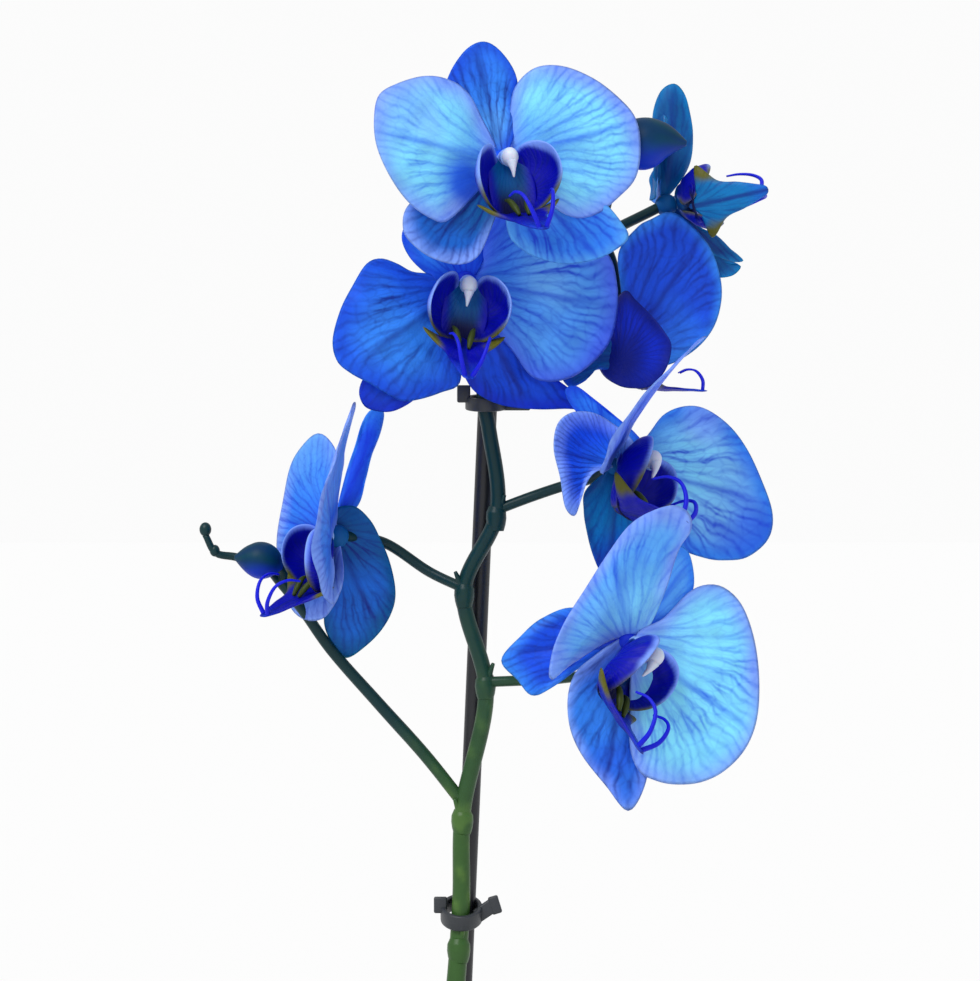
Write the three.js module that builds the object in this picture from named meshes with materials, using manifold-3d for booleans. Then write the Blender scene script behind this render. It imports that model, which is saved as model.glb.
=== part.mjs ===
// A moth orchid with blue flowers, growing in a plain round vase.
// Millimetres, +Z up, the origin at the middle of the vase's flat bottom.
// The flowers' main side faces -Y.
import * as THREE from "three";
import { mergeVertices } from "three/addons/utils/BufferGeometryUtils.js";
import Module from "manifold-3d";

const wasm = await Module();
wasm.setup();

// Driving dimensions
const GAP = 0.3;
const FINEST_DETAIL = 0.05;
const BLADE_THICKNESS = 0.7;
const LIP_THICKNESS = { lobe: 0.9, middle: 1.3 };
const LEAF_THICKNESS = 1.8;
const VASE = { height: 150, baseRadius: 46, rimRadius: 66, wall: 5, floor: 8, segments: 26 };
const FILL_TOP = 127;
const CROWN = { x: -20, y: 2, bottom: 112, top: 160, radiusX: 10.5, radiusY: 7 };
const STEM_RADIUS = { foot: 3.3, top: 2.5, branch: 2.1, pedicel: 1.75 };
const STAKE = { radius: 3.2, bottom: [-12.5, 21.9, 20], top: [8.1, -2.3, 495] };
const HUB = { radius: 3.8, back: 1.2, seat: 3.2 };

const COLOUR = {
  tepal: 0x4f86e8,
  lip: 0x1420a8,
  column: 0xe8ecf4,
  stem: 0x2c4a3c,
  bud: 0x2f7a86,
  leaf: 0x2f6b34,
  crown: 0x6f8f58,
  bark: 0x5c3f2b,
  vase: 0xf1efe9,
  stake: 0x15161c,
  clip: 0x2e3236,
};

// Solids
const clamp = (value, low, high) => Math.min(high, Math.max(low, value));

function solidFrom(vertices, triangles) {
  const build = (faces) => new wasm.Manifold(new wasm.Mesh({
    numProp: 3,
    vertProperties: Float32Array.from(vertices.flat()),
    triVerts: Uint32Array.from(faces.flat()),
  }));
  const solid = build(triangles);
  return solid.volume() > 0 ? solid : build(triangles.map(([a, b, c]) => [a, c, b]));
}

function solidOf(geometry) {
  const bare = geometry.index ? geometry.toNonIndexed() : geometry.clone();
  bare.deleteAttribute("normal");
  bare.deleteAttribute("uv");
  const merged = mergeVertices(bare, 1e-4);
  const vertices = [];
  for (let i = 0; i < merged.attributes.position.count; i += 1) {
    vertices.push(new THREE.Vector3().fromBufferAttribute(merged.attributes.position, i).toArray());
  }
  const triangles = [];
  for (let i = 0; i < merged.index.count; i += 3) {
    triangles.push([merged.index.getX(i), merged.index.getX(i + 1), merged.index.getX(i + 2)]);
  }
  return solidFrom(vertices, triangles.filter(([a, b, c]) => a !== b && b !== c && c !== a));
}

const join = (solids) => solids.reduce((whole, solid) => whole.add(solid));

// The biggest connected body, without loose scraps or sealed hollows
function largest(solid) {
  const bodies = solid.decompose();
  return bodies.reduce((best, body) => (body.volume() > best.volume() ? body : best));
}

const moved = (solid, matrix) => solid.transform(matrix.toArray());

function placement(centre, { yaw = 0, pitch = 0, roll = 0 } = {}, scale = 1) {
  const turn = new THREE.Euler(
    THREE.MathUtils.degToRad(-pitch),
    THREE.MathUtils.degToRad(roll),
    THREE.MathUtils.degToRad(yaw),
    "ZXY",
  );
  return new THREE.Matrix4().compose(
    new THREE.Vector3(...centre),
    new THREE.Quaternion().setFromEuler(turn),
    new THREE.Vector3(scale, scale, scale),
  );
}

// A sheet of triangles made into a thin solid, split alike on both faces
function thicken(points, faces, rim, thickness) {
  const normals = points.map(() => new THREE.Vector3());
  const corners = points.map((point) => new THREE.Vector3(...point));
  for (const [a, b, c] of faces) {
    const ab = corners[b].clone().sub(corners[a]);
    const ac = corners[c].clone().sub(corners[a]);
    const area = ab.cross(ac);
    [a, b, c].forEach((corner) => normals[corner].add(area));
  }
  const offset = (side) => corners.map((corner, i) => corner.clone()
    .addScaledVector(normals[i].clone().normalize(), (side * thickness) / 2).toArray());
  const count = points.length;
  const walls = rim.flatMap((a, i) => {
    const b = rim[(i + 1) % rim.length];
    return [[b, a, a + count], [b, a + count, b + count]];
  });
  const underside = faces.map(([a, b, c]) => [a + count, c + count, b + count]);
  return solidFrom([...offset(1), ...offset(-1)], [...faces, ...underside, ...walls]);
}

// A petal-like sheet inside a smooth closed outline of [u, v] points.
// Seen from the front u is X, v is Z and the depth is Y.
// Seen from the side u is Y and the depth is X. Seen from the top v is Y and the depth is Z.
function blade({
  view = "front", outline, slope = [0, 0], lift = 0, bend = 0, curl = 0, dish = 0,
  wave = 0, waves = 3, points = 12, rings = 2, thickness = BLADE_THICKNESS,
}) {
  const loop = new THREE.CatmullRomCurve3(
    outline.map(([u, v]) => new THREE.Vector3(u, v, 0)), true, "catmullrom", 0.5,
  );
  const rim = loop.getSpacedPoints(points).slice(0, points);
  const middle = rim.reduce((sum, point) => sum.add(point), new THREE.Vector3())
    .divideScalar(points);
  const place = (point, t, i) => {
    const { x: u, y: v } = point;
    const ripple = wave * t ** 3 * Math.sin((2 * Math.PI * waves * i) / points);
    const depth = lift + slope[0] * u + slope[1] * v + bend * v * v + curl * u * u
      + dish * t * t + ripple;
    return { front: [u, depth, v], side: [depth, u, v], top: [u, v, depth] }[view];
  };
  const vertices = [place(middle, 0, 0)];
  const faces = [];
  for (let ring = 1; ring <= rings; ring += 1) {
    const t = ring / rings;
    rim.forEach((point, i) => vertices.push(place(middle.clone().lerp(point, t), t, i)));
  }
  const at = (ring, i) => 1 + (ring - 1) * points + (i % points);
  for (let i = 0; i < points; i += 1) {
    faces.push([0, at(1, i), at(1, i + 1)]);
    for (let ring = 1; ring < rings; ring += 1) {
      faces.push([at(ring, i), at(ring + 1, i), at(ring + 1, i + 1)]);
      faces.push([at(ring, i), at(ring + 1, i + 1), at(ring, i + 1)]);
    }
  }
  const edge = rim.map((_, i) => at(rings, i));
  return thicken(vertices, faces, edge, thickness);
}

// A closed round bar along a smooth path, its radius spread evenly over the list
function rod(path, radii, sides = 8, steps = (path.length - 1) * 3) {
  const curve = new THREE.CatmullRomCurve3(path.map((point) => new THREE.Vector3(...point)));
  const frames = curve.computeFrenetFrames(steps, false);
  const vertices = [];
  const triangles = [];
  for (let i = 0; i <= steps; i += 1) {
    const centre = curve.getPointAt(i / steps);
    const along = (i / steps) * (radii.length - 1);
    const before = clamp(Math.floor(along), 0, radii.length - 2);
    const radius = THREE.MathUtils.lerp(radii[before], radii[before + 1], along - before);
    for (let j = 0; j < sides; j += 1) {
      const angle = (2 * Math.PI * j) / sides;
      vertices.push(centre.clone()
        .addScaledVector(frames.normals[i], radius * Math.cos(angle))
        .addScaledVector(frames.binormals[i], radius * Math.sin(angle)).toArray());
    }
  }
  const at = (i, j) => i * sides + (j % sides);
  for (let j = 0; j < sides; j += 1) {
    for (let i = 0; i < steps; i += 1) {
      triangles.push([at(i, j), at(i, j + 1), at(i + 1, j + 1)]);
      triangles.push([at(i, j), at(i + 1, j + 1), at(i + 1, j)]);
    }
  }
  const [first, last] = [vertices.length, vertices.length + 1];
  vertices.push(curve.getPointAt(0).toArray(), curve.getPointAt(1).toArray());
  for (let j = 0; j < sides; j += 1) {
    triangles.push([first, at(0, j + 1), at(0, j)]);
    triangles.push([last, at(steps, j), at(steps, j + 1)]);
  }
  return solidFrom(vertices, triangles);
}

function ball(centre, [rx, ry, rz], across = 8, high = 6) {
  const sphere = new THREE.SphereGeometry(1, across, high);
  const matrix = new THREE.Matrix4().makeScale(rx, ry, rz).setPosition(...centre);
  return moved(solidOf(sphere), matrix);
}

function box(centre, size, turn = [0, 0, 0]) {
  const matrix = new THREE.Matrix4().makeRotationFromEuler(new THREE.Euler(...turn))
    .setPosition(...centre);
  return moved(solidOf(new THREE.BoxGeometry(...size)), matrix);
}

// The flowers. Outlines are in mm from the flower's middle.
const FLOWERS = [
  {
    name: "flower_a",
    centre: [13.2, -50, 559.7],
    heart: { at: [-0.8, 0, 1.3], yaw: 18, pitch: 3, roll: -5, scale: 1.15,
      reach: 1.06, open: 0.78, nose: 7.2 },
    pedicel: [[25, -10, 531], [24, -21, 541], [18.5, -35, 554]],
    blades: [
      {
        slope: [0.45, 0], dish: 2.5, wave: 0.9,
        outline: [[-2, 1], [-8, 16.5], [-13, 24.5], [-19.5, 28], [-27, 28.5], [-35, 26],
          [-41, 22], [-42.5, 14], [-41.5, 5], [-37, -5], [-31, -13], [-24.5, -17.5],
          [-19, -18.5], [-11, -11]],
      },
      {
        slope: [0.15, 0], dish: 2.5, wave: 0.9,
        outline: [[3, 0], [1.5, 9], [1.5, 18], [3.5, 26], [10, 32], [19.5, 32.5], [29.5, 28.5],
          [38, 22], [43, 15.5], [44.5, 6.5], [43, -3.5], [37.5, -10], [30.5, -15.5],
          [23, -17], [15, -13], [7, -5]],
      },
      {
        slope: [0.3, 0.1], lift: 2, dish: -1.5, points: 10, rings: 1,
        outline: [[-2, 1], [-12, 14], [-18.5, 24.5], [-18, 30], [-13, 37.5], [-7, 40.5],
          [-1.5, 37.5], [3.5, 30], [4.5, 20], [2.5, 8]],
      },
      {
        slope: [0.3, -0.1], lift: 1.5, dish: -1, points: 10, rings: 1,
        outline: [[-1, -1], [-12, -5], [-24, -8], [-32, -14], [-33, -22], [-28.5, -27.5],
          [-22.5, -31], [-15, -32.5], [-9, -30], [-5, -22], [-1, -10]],
      },
      {
        slope: [0.18, -0.1], lift: 1.5, dish: -1, points: 10, rings: 1,
        outline: [[1, -1], [0, -12], [1, -22], [5, -27], [10.5, -30], [19, -32], [28, -31],
          [34.5, -28.5], [40.5, -23.5], [38, -18], [31, -11], [18, -6], [8, -2]],
      },
    ],
  },
  {
    name: "flower_b",
    centre: [-2.2, -30, 518.8],
    heart: { at: [2.6, 0, 3], yaw: 8, pitch: -13, roll: 7, scale: 1.12,
      reach: 1.08, open: 0.75, nose: 6.5 },
    pedicel: [[8, -10, 490], [9, -15, 499], [4.5, -20, 510]],
    blades: [
      {
        slope: [0.42, 0], dish: 2.5, wave: 0.9,
        outline: [[-2, 1], [-8.4, 5.7], [-15, 6.7], [-20, 9.3], [-25.4, 10.9], [-30, 9],
          [-34.4, 2], [-38.4, -6], [-41, -16], [-39.5, -23], [-35, -27], [-28.5, -30.5],
          [-22, -34.3], [-17.8, -36], [-12, -35.2], [-5.5, -33], [0.5, -30], [1, -20],
          [0, -8]],
      },
      {
        slope: [0.2, 0], dish: 2.5, wave: 0.9,
        outline: [[2, 1], [7, 12], [9, 20], [12, 25.5], [17, 25], [22, 21.5], [30, 21],
          [42, 18.5], [50, 12.5], [52.5, 4], [52.8, -6], [50, -16.5], [44, -23.5],
          [37.8, -27.8], [30.6, -29.4], [24, -27.5], [18, -19.6], [9, -9]],
      },
      {
        slope: [0.25, 0.15], lift: 2, dish: -1, points: 10, rings: 1,
        outline: [[-1, 1], [-9, 5], [-16, 11.5], [-18.5, 19], [-14, 26.5], [-6, 27], [3, 25],
          [10, 18], [6, 6]],
      },
      {
        slope: [0.25, -0.1], lift: 2, dish: -1, points: 10, rings: 1,
        outline: [[0, -2], [0, -14], [1, -24], [4, -31], [9, -35], [16, -37.5], [26, -38.5],
          [35, -38.3], [40.5, -38], [39, -33.5], [32, -28], [20, -19], [9, -7]],
      },
      {
        slope: [0.4, -0.1], lift: 2.5, dish: -1, points: 10, rings: 1,
        outline: [[-2, -2], [-14, -10], [-25, -20], [-32, -30.5], [-31.2, -37], [-26.5, -39.3],
          [-20, -38.8], [-12, -33], [-5, -20]],
      },
    ],
  },
  {
    name: "flower_c",
    centre: [65.8, 4, 549.5],
    heart: { at: [2.5, 0, -0.4], yaw: 95, pitch: 15, roll: 80, scale: 1.02,
      reach: 1, open: 0.6, nose: 8.5 },
    pedicel: [[43.3, -9, 539.3], [50, -4.5, 540.8], [56, 0, 543.6]],
    blades: [
      {
        slope: [0.1, 0], dish: 1.5, points: 10, rings: 1,
        outline: [[0, 1], [-1.5, 9], [-2.6, 18], [-3.3, 27], [-2.4, 33], [0, 38], [4, 40],
          [7, 37.5], [9, 32], [10.4, 23], [9.6, 14], [6, 7]],
      },
      {
        view: "side", slope: [0.05, 0.12], lift: -3.5, bend: 0.002, wave: 0.7,
        outline: [[1, 1], [-7, 3], [-14, 9], [-16.5, 17], [-16, 25], [-10, 29], [-4, 26],
          [0, 17], [2, 8]],
      },
      {
        view: "side", slope: [-0.05, 0.12], lift: -1.5, bend: 0.002, wave: 0.7,
        outline: [[-1, 1], [6, -1], [16, 2], [26, 9], [31, 18], [29, 27], [21, 31], [12, 28],
          [5, 20], [1, 9]],
      },
      {
        slope: [0.5, 0], lift: 1.5, points: 10, rings: 1,
        outline: [[1, 1], [6, -2], [12.6, -7.6], [18.6, -10.4], [23, -14.5], [27.7, -18.8],
          [22, -19], [16, -16.5], [8, -10], [2, -4]],
      },
      {
        slope: [0, 0.1], lift: 0.5, points: 10, rings: 1,
        outline: [[0, -1], [7, -9], [14, -16], [20, -20], [26.2, -21], [23, -24.5],
          [16, -24.5], [8, -19], [1, -9]],
      },
    ],
  },
  {
    name: "flower_d",
    centre: [61.4, -10, 499.5],
    heart: { at: [-9, 2, -2], yaw: 84, pitch: 12, roll: 0, scale: 0.72,
      reach: 1.18, open: 0.6, nose: 8.5 },
    pedicel: [[43.3, -9, 539.3], [48.5, -3, 531], [51, 0, 517], [50.3, -3, 504]],
    blades: [
      {
        slope: [0.2, 0.12], lift: 2.5, dish: -2, wave: 0.9,
        outline: [[-9, -2], [-9.5, 8], [-9.6, 20], [-10.4, 33], [-4.2, 41.5], [0.5, 44.3],
          [6.4, 46.8], [12, 44.3], [19.6, 36], [23.5, 26], [24, 17], [21, 7.5], [13.7, -0.3],
          [3, -5]],
      },
      {
        slope: [-0.8, 0.05], lift: -10.6, points: 10, rings: 1,
        outline: [[-16, 8], [-13, 15], [-8.3, 20.3], [-4.7, 17], [0.5, 11.6], [4.5, 6.5],
          [6.8, 1.5], [5, -6], [0, -11.5], [-6, -12.2], [-11, -11], [-16, -7], [-18.5, 1]],
      },
      {
        slope: [0.1, 0], lift: 1.5, points: 10,
        outline: [[2, 0], [-8, -6], [-17.8, -6], [-22, -10], [-27, -11.5], [-30, -6],
          [-27, 1], [-18, 4], [-6, 5]],
      },
    ],
  },
  {
    name: "flower_e",
    centre: [55.5, -24, 462.9],
    heart: { at: [-5.4, 0, -0.6], yaw: 61, pitch: 3, roll: 36, scale: 1.25,
      reach: 0.9, open: 0.5, nose: 10.6 },
    pedicel: [[10.3, -8, 447], [21.7, -9.5, 451.3], [31.7, -13, 454.7], [43, -17.5, 458]],
    blades: [
      {
        slope: [0.5, 0], lift: 1, dish: -2, wave: 0.9,
        outline: [[-4, 2], [4, 8], [10, 15.5], [17, 18.5], [24, 17.8], [32, 12.5], [38, 5],
          [43, -5], [47, -17], [45.5, -25.5], [38.5, -31.5], [31, -32.6], [24, -31.8],
          [15, -28], [7, -18], [0, -7]],
      },
      {
        view: "side", slope: [0.08, 0.48], lift: -7, bend: 0.007, wave: 0.6,
        outline: [[1, 1], [-2, 10], [-6, 24], [-14, 36], [-24, 41], [-34, 38], [-42, 28],
          [-45, 16], [-42, 4], [-32, -3], [-18, -4], [-6, -2]],
      },
      {
        slope: [0.35, 0.1], lift: 2, points: 10, rings: 1,
        outline: [[-3, 1.5], [-7, 5], [-14, 12], [-20, 18], [-22.5, 23.5], [-19, 25.2],
          [-13, 21], [-5, 14.6], [1, 9.5], [3.5, 5]],
      },
      {
        slope: [0.35, 0], lift: 0.5, dish: -1, points: 12, rings: 1,
        outline: [[-1, 2], [-6, -1.5], [-12.3, -3.3], [-15.5, -7.5], [-17.2, -12.5],
          [-19.3, -17.8], [-22.5, -14.8], [-24.2, -5], [-26.3, 4.5], [-25, 12.5],
          [-20.3, 16.3], [-13.5, 16.3], [-7, 13], [0, 7]],
      },
      {
        slope: [0.35, -0.1], lift: 1.5, points: 10, rings: 1,
        outline: [[-3, 2], [-9, -3], [-15.8, -9.5], [-16.3, -16], [-15.5, -22],
          [-13.5, -30], [-10.5, -37], [-7, -42], [-1.5, -37], [1.5, -26], [1.5, -10]],
      },
    ],
  },
  {
    name: "flower_f",
    centre: [59, -44, 399.7],
    heart: { at: [-4.8, 0, 4.4], yaw: 43, pitch: -27, roll: 37, scale: 1.26,
      reach: 0.96, open: 0.5, nose: 9.5 },
    pedicel: [[6.6, -5, 389.8], [16.7, -9, 390.3], [31.7, -21, 391.4], [46, -33.5, 395]],
    blades: [
      {
        slope: [0.45, -0.45], lift: 1, dish: 2, wave: 0.9,
        outline: [[-1.5, 6], [-11, 4.8], [-24, -3], [-31, -8], [-30.5, 1], [-26.5, 11],
          [-20, 21.5], [-12, 34], [-5, 43], [2.7, 47.5], [9.7, 49], [14.5, 46], [14.8, 40.5],
          [11, 34.5], [7, 22], [2.5, 11]],
      },
      {
        slope: [0.35, 0], lift: 0.5, dish: -1.5, wave: 0.9,
        outline: [[-3, 6.5], [6, 12], [14.5, 20.5], [21, 23], [27, 21.5], [32.5, 15.5],
          [36.5, 4], [38, -10], [37, -22], [33, -31.5], [26, -38.4], [18, -42], [9.5, -42.5],
          [3, -41], [-2, -38], [-5, -29], [-5, -8]],
      },
      {
        slope: [0.15, 0.1], lift: 2.5, points: 10, rings: 1,
        outline: [[-2, 5], [-3, 12], [1, 22], [5.5, 32.5], [10.5, 36], [15, 32.5], [16.2, 22],
          [12, 16], [7.7, 9.5], [4, 3]],
      },
      {
        slope: [0.15, -0.05], lift: 1.5, dish: -1, points: 12, rings: 1,
        outline: [[-2, 7], [-9, 5], [-17.7, -1], [-23, -6], [-25.3, -14], [-24.5, -24],
          [-20.5, -33], [-12.7, -43], [-5.4, -51.2], [0, -43], [2, -30], [2, -12]],
      },
      {
        slope: [0.05, 0], lift: 2.5, points: 10, rings: 1,
        outline: [[-1, 7], [-11, 11], [-23.5, 15.5], [-33.7, 12], [-40.5, 6.3], [-47, -1.7],
          [-41.7, -8.3], [-36.9, -13.3], [-30, -10.5], [-15, 0]],
      },
    ],
  },
  {
    name: "flower_g",
    centre: [-41, -14, 445.4],
    heart: { at: [-2.2, -1, -7.2], yaw: -56, pitch: -8, roll: 10, scale: 1.08,
      reach: 0.92, open: 0.35, nose: 6.5 },
    pedicel: [[-0.4, -6.5, 421], [-11.7, -1.5, 426.3], [-26.7, -1.5, 436]],
    blades: [
      {
        slope: [-1, 0], lift: -1, dish: -1.5, wave: 0.9,
        outline: [[-2, 2], [-1, 18], [-4, 25], [-8.5, 27], [-14, 22], [-17.5, 15.5], [-20, 4],
          [-22, -8], [-21.3, -18], [-19, -27], [-15.5, -33], [-10, -35.3], [-4, -32.5],
          [1, -20]],
      },
      {
        view: "side", slope: [0.11, 0.1], lift: -1.5, bend: 0.004, wave: 0.7,
        outline: [[1, 2], [-4, 14], [-10, 28], [-16, 37], [-26, 34], [-38, 22], [-44, 4],
          [-42, -14], [-32, -26], [-20, -29], [-9, -20], [-2, -6]],
      },
      {
        slope: [0.3, 0], lift: 2, points: 10, rings: 1,
        outline: [[-2, -3], [1, 12], [4.5, 23], [7, 31], [10, 35], [14, 34.5], [13.2, 28],
          [10.2, 20], [8.2, 12], [5.5, 3]],
      },
      {
        slope: [0.1, -0.3], lift: 0.5, points: 12, rings: 1,
        outline: [[-3, 1], [4, 3], [9.5, -1.5], [13, -8], [16, -15.5], [17.8, -24],
          [17.3, -30.5], [14, -37.3], [8.5, -43.3], [1.2, -47.8], [-3.5, -42.5], [-6, -35],
          [-4, -22], [-2, -9]],
      },
    ],
  },
];

// The flower's stem, its side branch and the stalks of the flowers
const STEM_PATH = [
  [-21, -1.5, 131], [-23, -7.5, 142], [-22, -9, 158], [-18, -8, 190], [-12, -5, 230],
  [-6, -2, 262], [-3, 0, 290], [-1.3, 0, 317], [-0.7, -2, 347], [7, -5, 387],
  [-0.3, -6.5, 420.3], [10.7, -8, 446.3], [8, -9.5, 473.7], [6.3, -10, 483.7],
  [8.3, -10.5, 502], [16.7, -10.5, 522], [30, -10, 533.7], [43.3, -9, 539.3],
];
const BRANCH_PATH = [
  [-0.7, -2, 349.5], [-13.3, -1, 365.3], [-28.3, -1, 382], [-45, -2, 401],
  [-54, -3, 413.7], [-61.3, -2, 422.7], [-67, 2.5, 428.6], [-76.7, 6, 431.3],
  [-83.3, 5, 432.7], [-86.7, 4, 438.7],
];
const BUDS = [
  {
    name: "bud_top",
    stalk: [[43.3, -9, 539.3], [47, -14, 548], [47.5, -22, 558], [50.5, -28.5, 565]],
    axis: [[47.2, -27.5, 564], [56, -30, 567], [65, -31, 568.5], [73, -31, 567.7]],
    radii: [2.2, 6.8, 8.9, 8.3, 5, 0.8],
  },
  {
    name: "bud_side",
    stalk: [[-61.3, -2, 422.7], [-60.6, -2.6, 426], [-62.8, -3.8, 429.3]],
    axis: [[-61, -3.4, 428.6], [-66.4, -5.5, 430], [-71.8, -6, 430.8], [-76.6, -5.6, 431.3]],
    radii: [1.8, 5.2, 6.4, 6, 4, 0.7],
  },
];

// The heart is where the blades, the lip, the column and the stalk of a flower meet
function heartMatrix({ centre, heart }, scale = heart.scale) {
  return placement(centre.map((value, i) => value + heart.at[i]), heart, scale);
}

function pedicel(flower, grow = 0) {
  const seat = new THREE.Vector3(0, HUB.seat, 0).applyMatrix4(heartMatrix(flower, 1));
  const radius = STEM_RADIUS.pedicel + grow;
  const path = [...flower.pedicel, seat.toArray()];
  const stalk = rod(path, [radius, radius], 5, (path.length - 1) * 2);
  const end = radius + grow;
  return grow ? stalk.add(ball(seat.toArray(), [end, end, end])) : stalk;
}

function column(flower, grow = 0) {
  const { nose } = flower.heart;
  const parts = [
    rod([[0, grow - 0.8, 0], [0, -nose / 2, 0.9], [0, 0.5 - nose, 0.5]],
      [2.2 + grow, 2.2 + grow, 2.5 + grow], 6, 2),
    ball([0, -nose, 0.6], [2.3 + grow, 2.5 + grow, 2.7 + grow], 6, 4),
    rod([[0, -nose - 1, -0.8], [0, -nose - 1.6, -5]], [1.8 + grow, 0.6 + grow], 5, 1),
  ];
  return moved(join(parts), heartMatrix(flower));
}

// Seen from the front the lip is a cup: a throat wall at the back, a lobe that flares out
// on each side, and a pointed middle lobe with two horns and two whiskers at its tip
const LIP = {
  throat: {
    outline: [[-6.2, -2.5], [-3.4, 0.6], [3.4, 0.6], [6.2, -2.5], [7, -9], [5.6, -15],
      [0, -16.5], [-5.6, -15], [-7, -9]],
    lift: -2.4, slope: [0, 0.2], curl: -0.05, points: 6, rings: 1,
  },
  lobe: {
    view: "side",
    outline: [[-2.8, -14.5], [-2.4, -7], [-2.8, -0.5], [-5.5, 3.6], [-9.6, 4.6],
      [-13.2, 2.8], [-15.2, -2], [-15, -7.5], [-12.6, -12.4], [-8, -16]],
    lift: 5.2, slope: [0, -0.07], bend: -0.01, dish: -3.6, points: 8, rings: 2,
  },
  middle: {
    view: "top",
    outline: [[0, -4], [3.2, -7], [12.3, -9.5], [6.4, -15], [4.6, -21], [2.8, -26],
      [1.2, -29.5], [-1.2, -29.5], [-2.8, -26], [-4.6, -21], [-6.4, -15], [-12.3, -9.5],
      [-3.2, -7]],
    lift: -14.2, slope: [0, 0.25], curl: 0.028, points: 13, rings: 1,
  },
  whisker: [[1, 0, 0], [2.9, -1, 4.8], [4.4, 1.2, 9.6], [5.4, 5, 11], [5.9, 9, 10.2]],
  tip: -28,
};

// An outline pushed outward from its middle
function widened(outline, grow) {
  const [u0, v0] = [0, 1].map((axis) => outline.reduce((sum, p) => sum + p[axis], 0)
    / outline.length);
  return outline.map(([u, v]) => {
    const reach = Math.hypot(u - u0, v - v0);
    return [u + (grow * (u - u0)) / reach, v + (grow * (v - v0)) / reach];
  });
}

function lip(flower, grow = 0) {
  const { reach, open } = flower.heart;
  const sheet = (shape, thickness) => blade({
    ...shape, outline: widened(shape.outline, grow), thickness: thickness + 2 * grow,
  });
  const right = {
    ...LIP.lobe, lift: LIP.lobe.lift - 2 * open, slope: [-open, LIP.lobe.slope[1]],
  };
  const left = {
    ...right, lift: -right.lift, slope: right.slope.map((value) => -value),
    bend: -right.bend, dish: -right.dish,
  };
  const middle = { ...LIP.middle, outline: LIP.middle.outline.map(([x, y]) => [x, y * reach]) };
  const tipY = LIP.tip * reach;
  const tip = [0, tipY, middle.lift + middle.slope[1] * tipY];
  const whisker = LIP.whisker.map((point) => point.map((value, i) => value + tip[i]));
  const parts = [
    sheet(LIP.throat, LIP_THICKNESS.middle),
    sheet(right, LIP_THICKNESS.lobe),
    sheet(left, LIP_THICKNESS.lobe),
    sheet(middle, LIP_THICKNESS.middle),
    ...[whisker, whisker.map(([x, y, z]) => [-x, y, z])].map((path) => rod(path,
      [0.9 + grow, 0.7 + grow, 0.45 + grow], 4, 4)),
  ];
  return moved(join(parts), heartMatrix(flower));
}

function tepals(flower) {
  const origin = new THREE.Matrix4().setPosition(...flower.centre);
  const blades = flower.blades.map((shape) => moved(blade(shape), origin));
  const hub = moved(ball([0, HUB.back, 0], [HUB.radius, HUB.radius, HUB.radius], 6, 4),
    heartMatrix(flower, 1));
  return join([hub, ...blades]);
}

// A scale leaf clasps the stem at each joint, its tip standing off by lean
const BRACTS = [
  { at: [-2.1, 0, 301], radius: 3.2, lean: [1.6, -3.6] },
  { at: [-0.9, -1.6, 344], radius: 3, lean: [-2.6, -2.6] },
  { at: [6.8, -5, 389], radius: 2.8, lean: [2.6, -3] },
  { at: [-0.2, -6.5, 419.5], radius: 2.7, lean: [-3, -2.4] },
  { at: [10.4, -8, 445], radius: 2.7, lean: [2.8, -2.4] },
];
const TIP_BUDS = [
  { at: [-86.7, 4, 440.5], radii: [2, 2, 2.4] },
  { at: [-83.6, 4.9, 433.4], radii: [1.7, 1.7, 2] },
];

function bract({ at: [x, y, z], radius, lean }, grow) {
  const [sleeveRadius, tipHeight] = [radius + grow, 7];
  const sleeve = rod([[x, y, z - 3], [x, y, z + 2]], [sleeveRadius + 0.5, sleeveRadius + 0.9],
    6, 1);
  const tip = rod([[x, y, z], [x + lean[0], y + lean[1], z + tipHeight]], [1.6, 0.6], 5, 1);
  return sleeve.add(tip);
}

function stem(grow = 0) {
  const { foot, top, branch } = STEM_RADIUS;
  const main = rod(STEM_PATH, [foot, foot, foot, 2.8, 2.6, 2.5, top].map((r) => r + grow), 7,
    26);
  const side = rod(BRANCH_PATH, [branch, branch, 1.9, 1.7, 1.1].map((r) => r + grow), 6, 14);
  const stalks = BUDS.map(({ stalk }) => rod(stalk, [1.6 + grow, 1.6 + grow], 5, 5));
  return join([
    main, side, ...stalks, ...FLOWERS.map((flower) => pedicel(flower, grow)),
    ...BRACTS.map((shape) => bract(shape, grow)),
    ...TIP_BUDS.map(({ at, radii }) => ball(at, radii, 6, 4)),
  ]);
}

function bud({ axis, radii }) {
  return rod(axis, radii, 9, 7);
}

// The stake and the two clips that hold the stem to it
function stake(grow = 0) {
  const ends = [STAKE.bottom, STAKE.top];
  return rod(ends, [STAKE.radius + grow, STAKE.radius + grow], 12, 1);
}

const CLIPS = [
  {
    name: "clip_lower",
    ring: { centre: [-1.2, 3.4, 312.6], outer: [7, 9.4], height: 5.4, tilt: 22 },
    tabs: [
      { centre: [-8.2, 3, 315.2], size: [4.4, 4, 5.4], lean: 0 },
      { centre: [6.5, 3, 313.2], size: [7, 3.6, 4.8], lean: -34 },
      { centre: [10, 3, 315.2], size: [3.4, 3.8, 6], lean: -17 },
    ],
  },
  {
    name: "clip_upper",
    ring: { centre: [6.9, -6, 482.6], outer: [6.8, 9.2], height: 4.4, tilt: 6 },
    tabs: [
      { centre: [-0.4, -8, 485.6], size: [4.4, 4, 5.8], lean: 0 },
      { centre: [16.4, -7, 481], size: [10.6, 3, 1.8], lean: 0 },
    ],
  },
];
const CLIP_WALL = 1.7;

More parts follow.
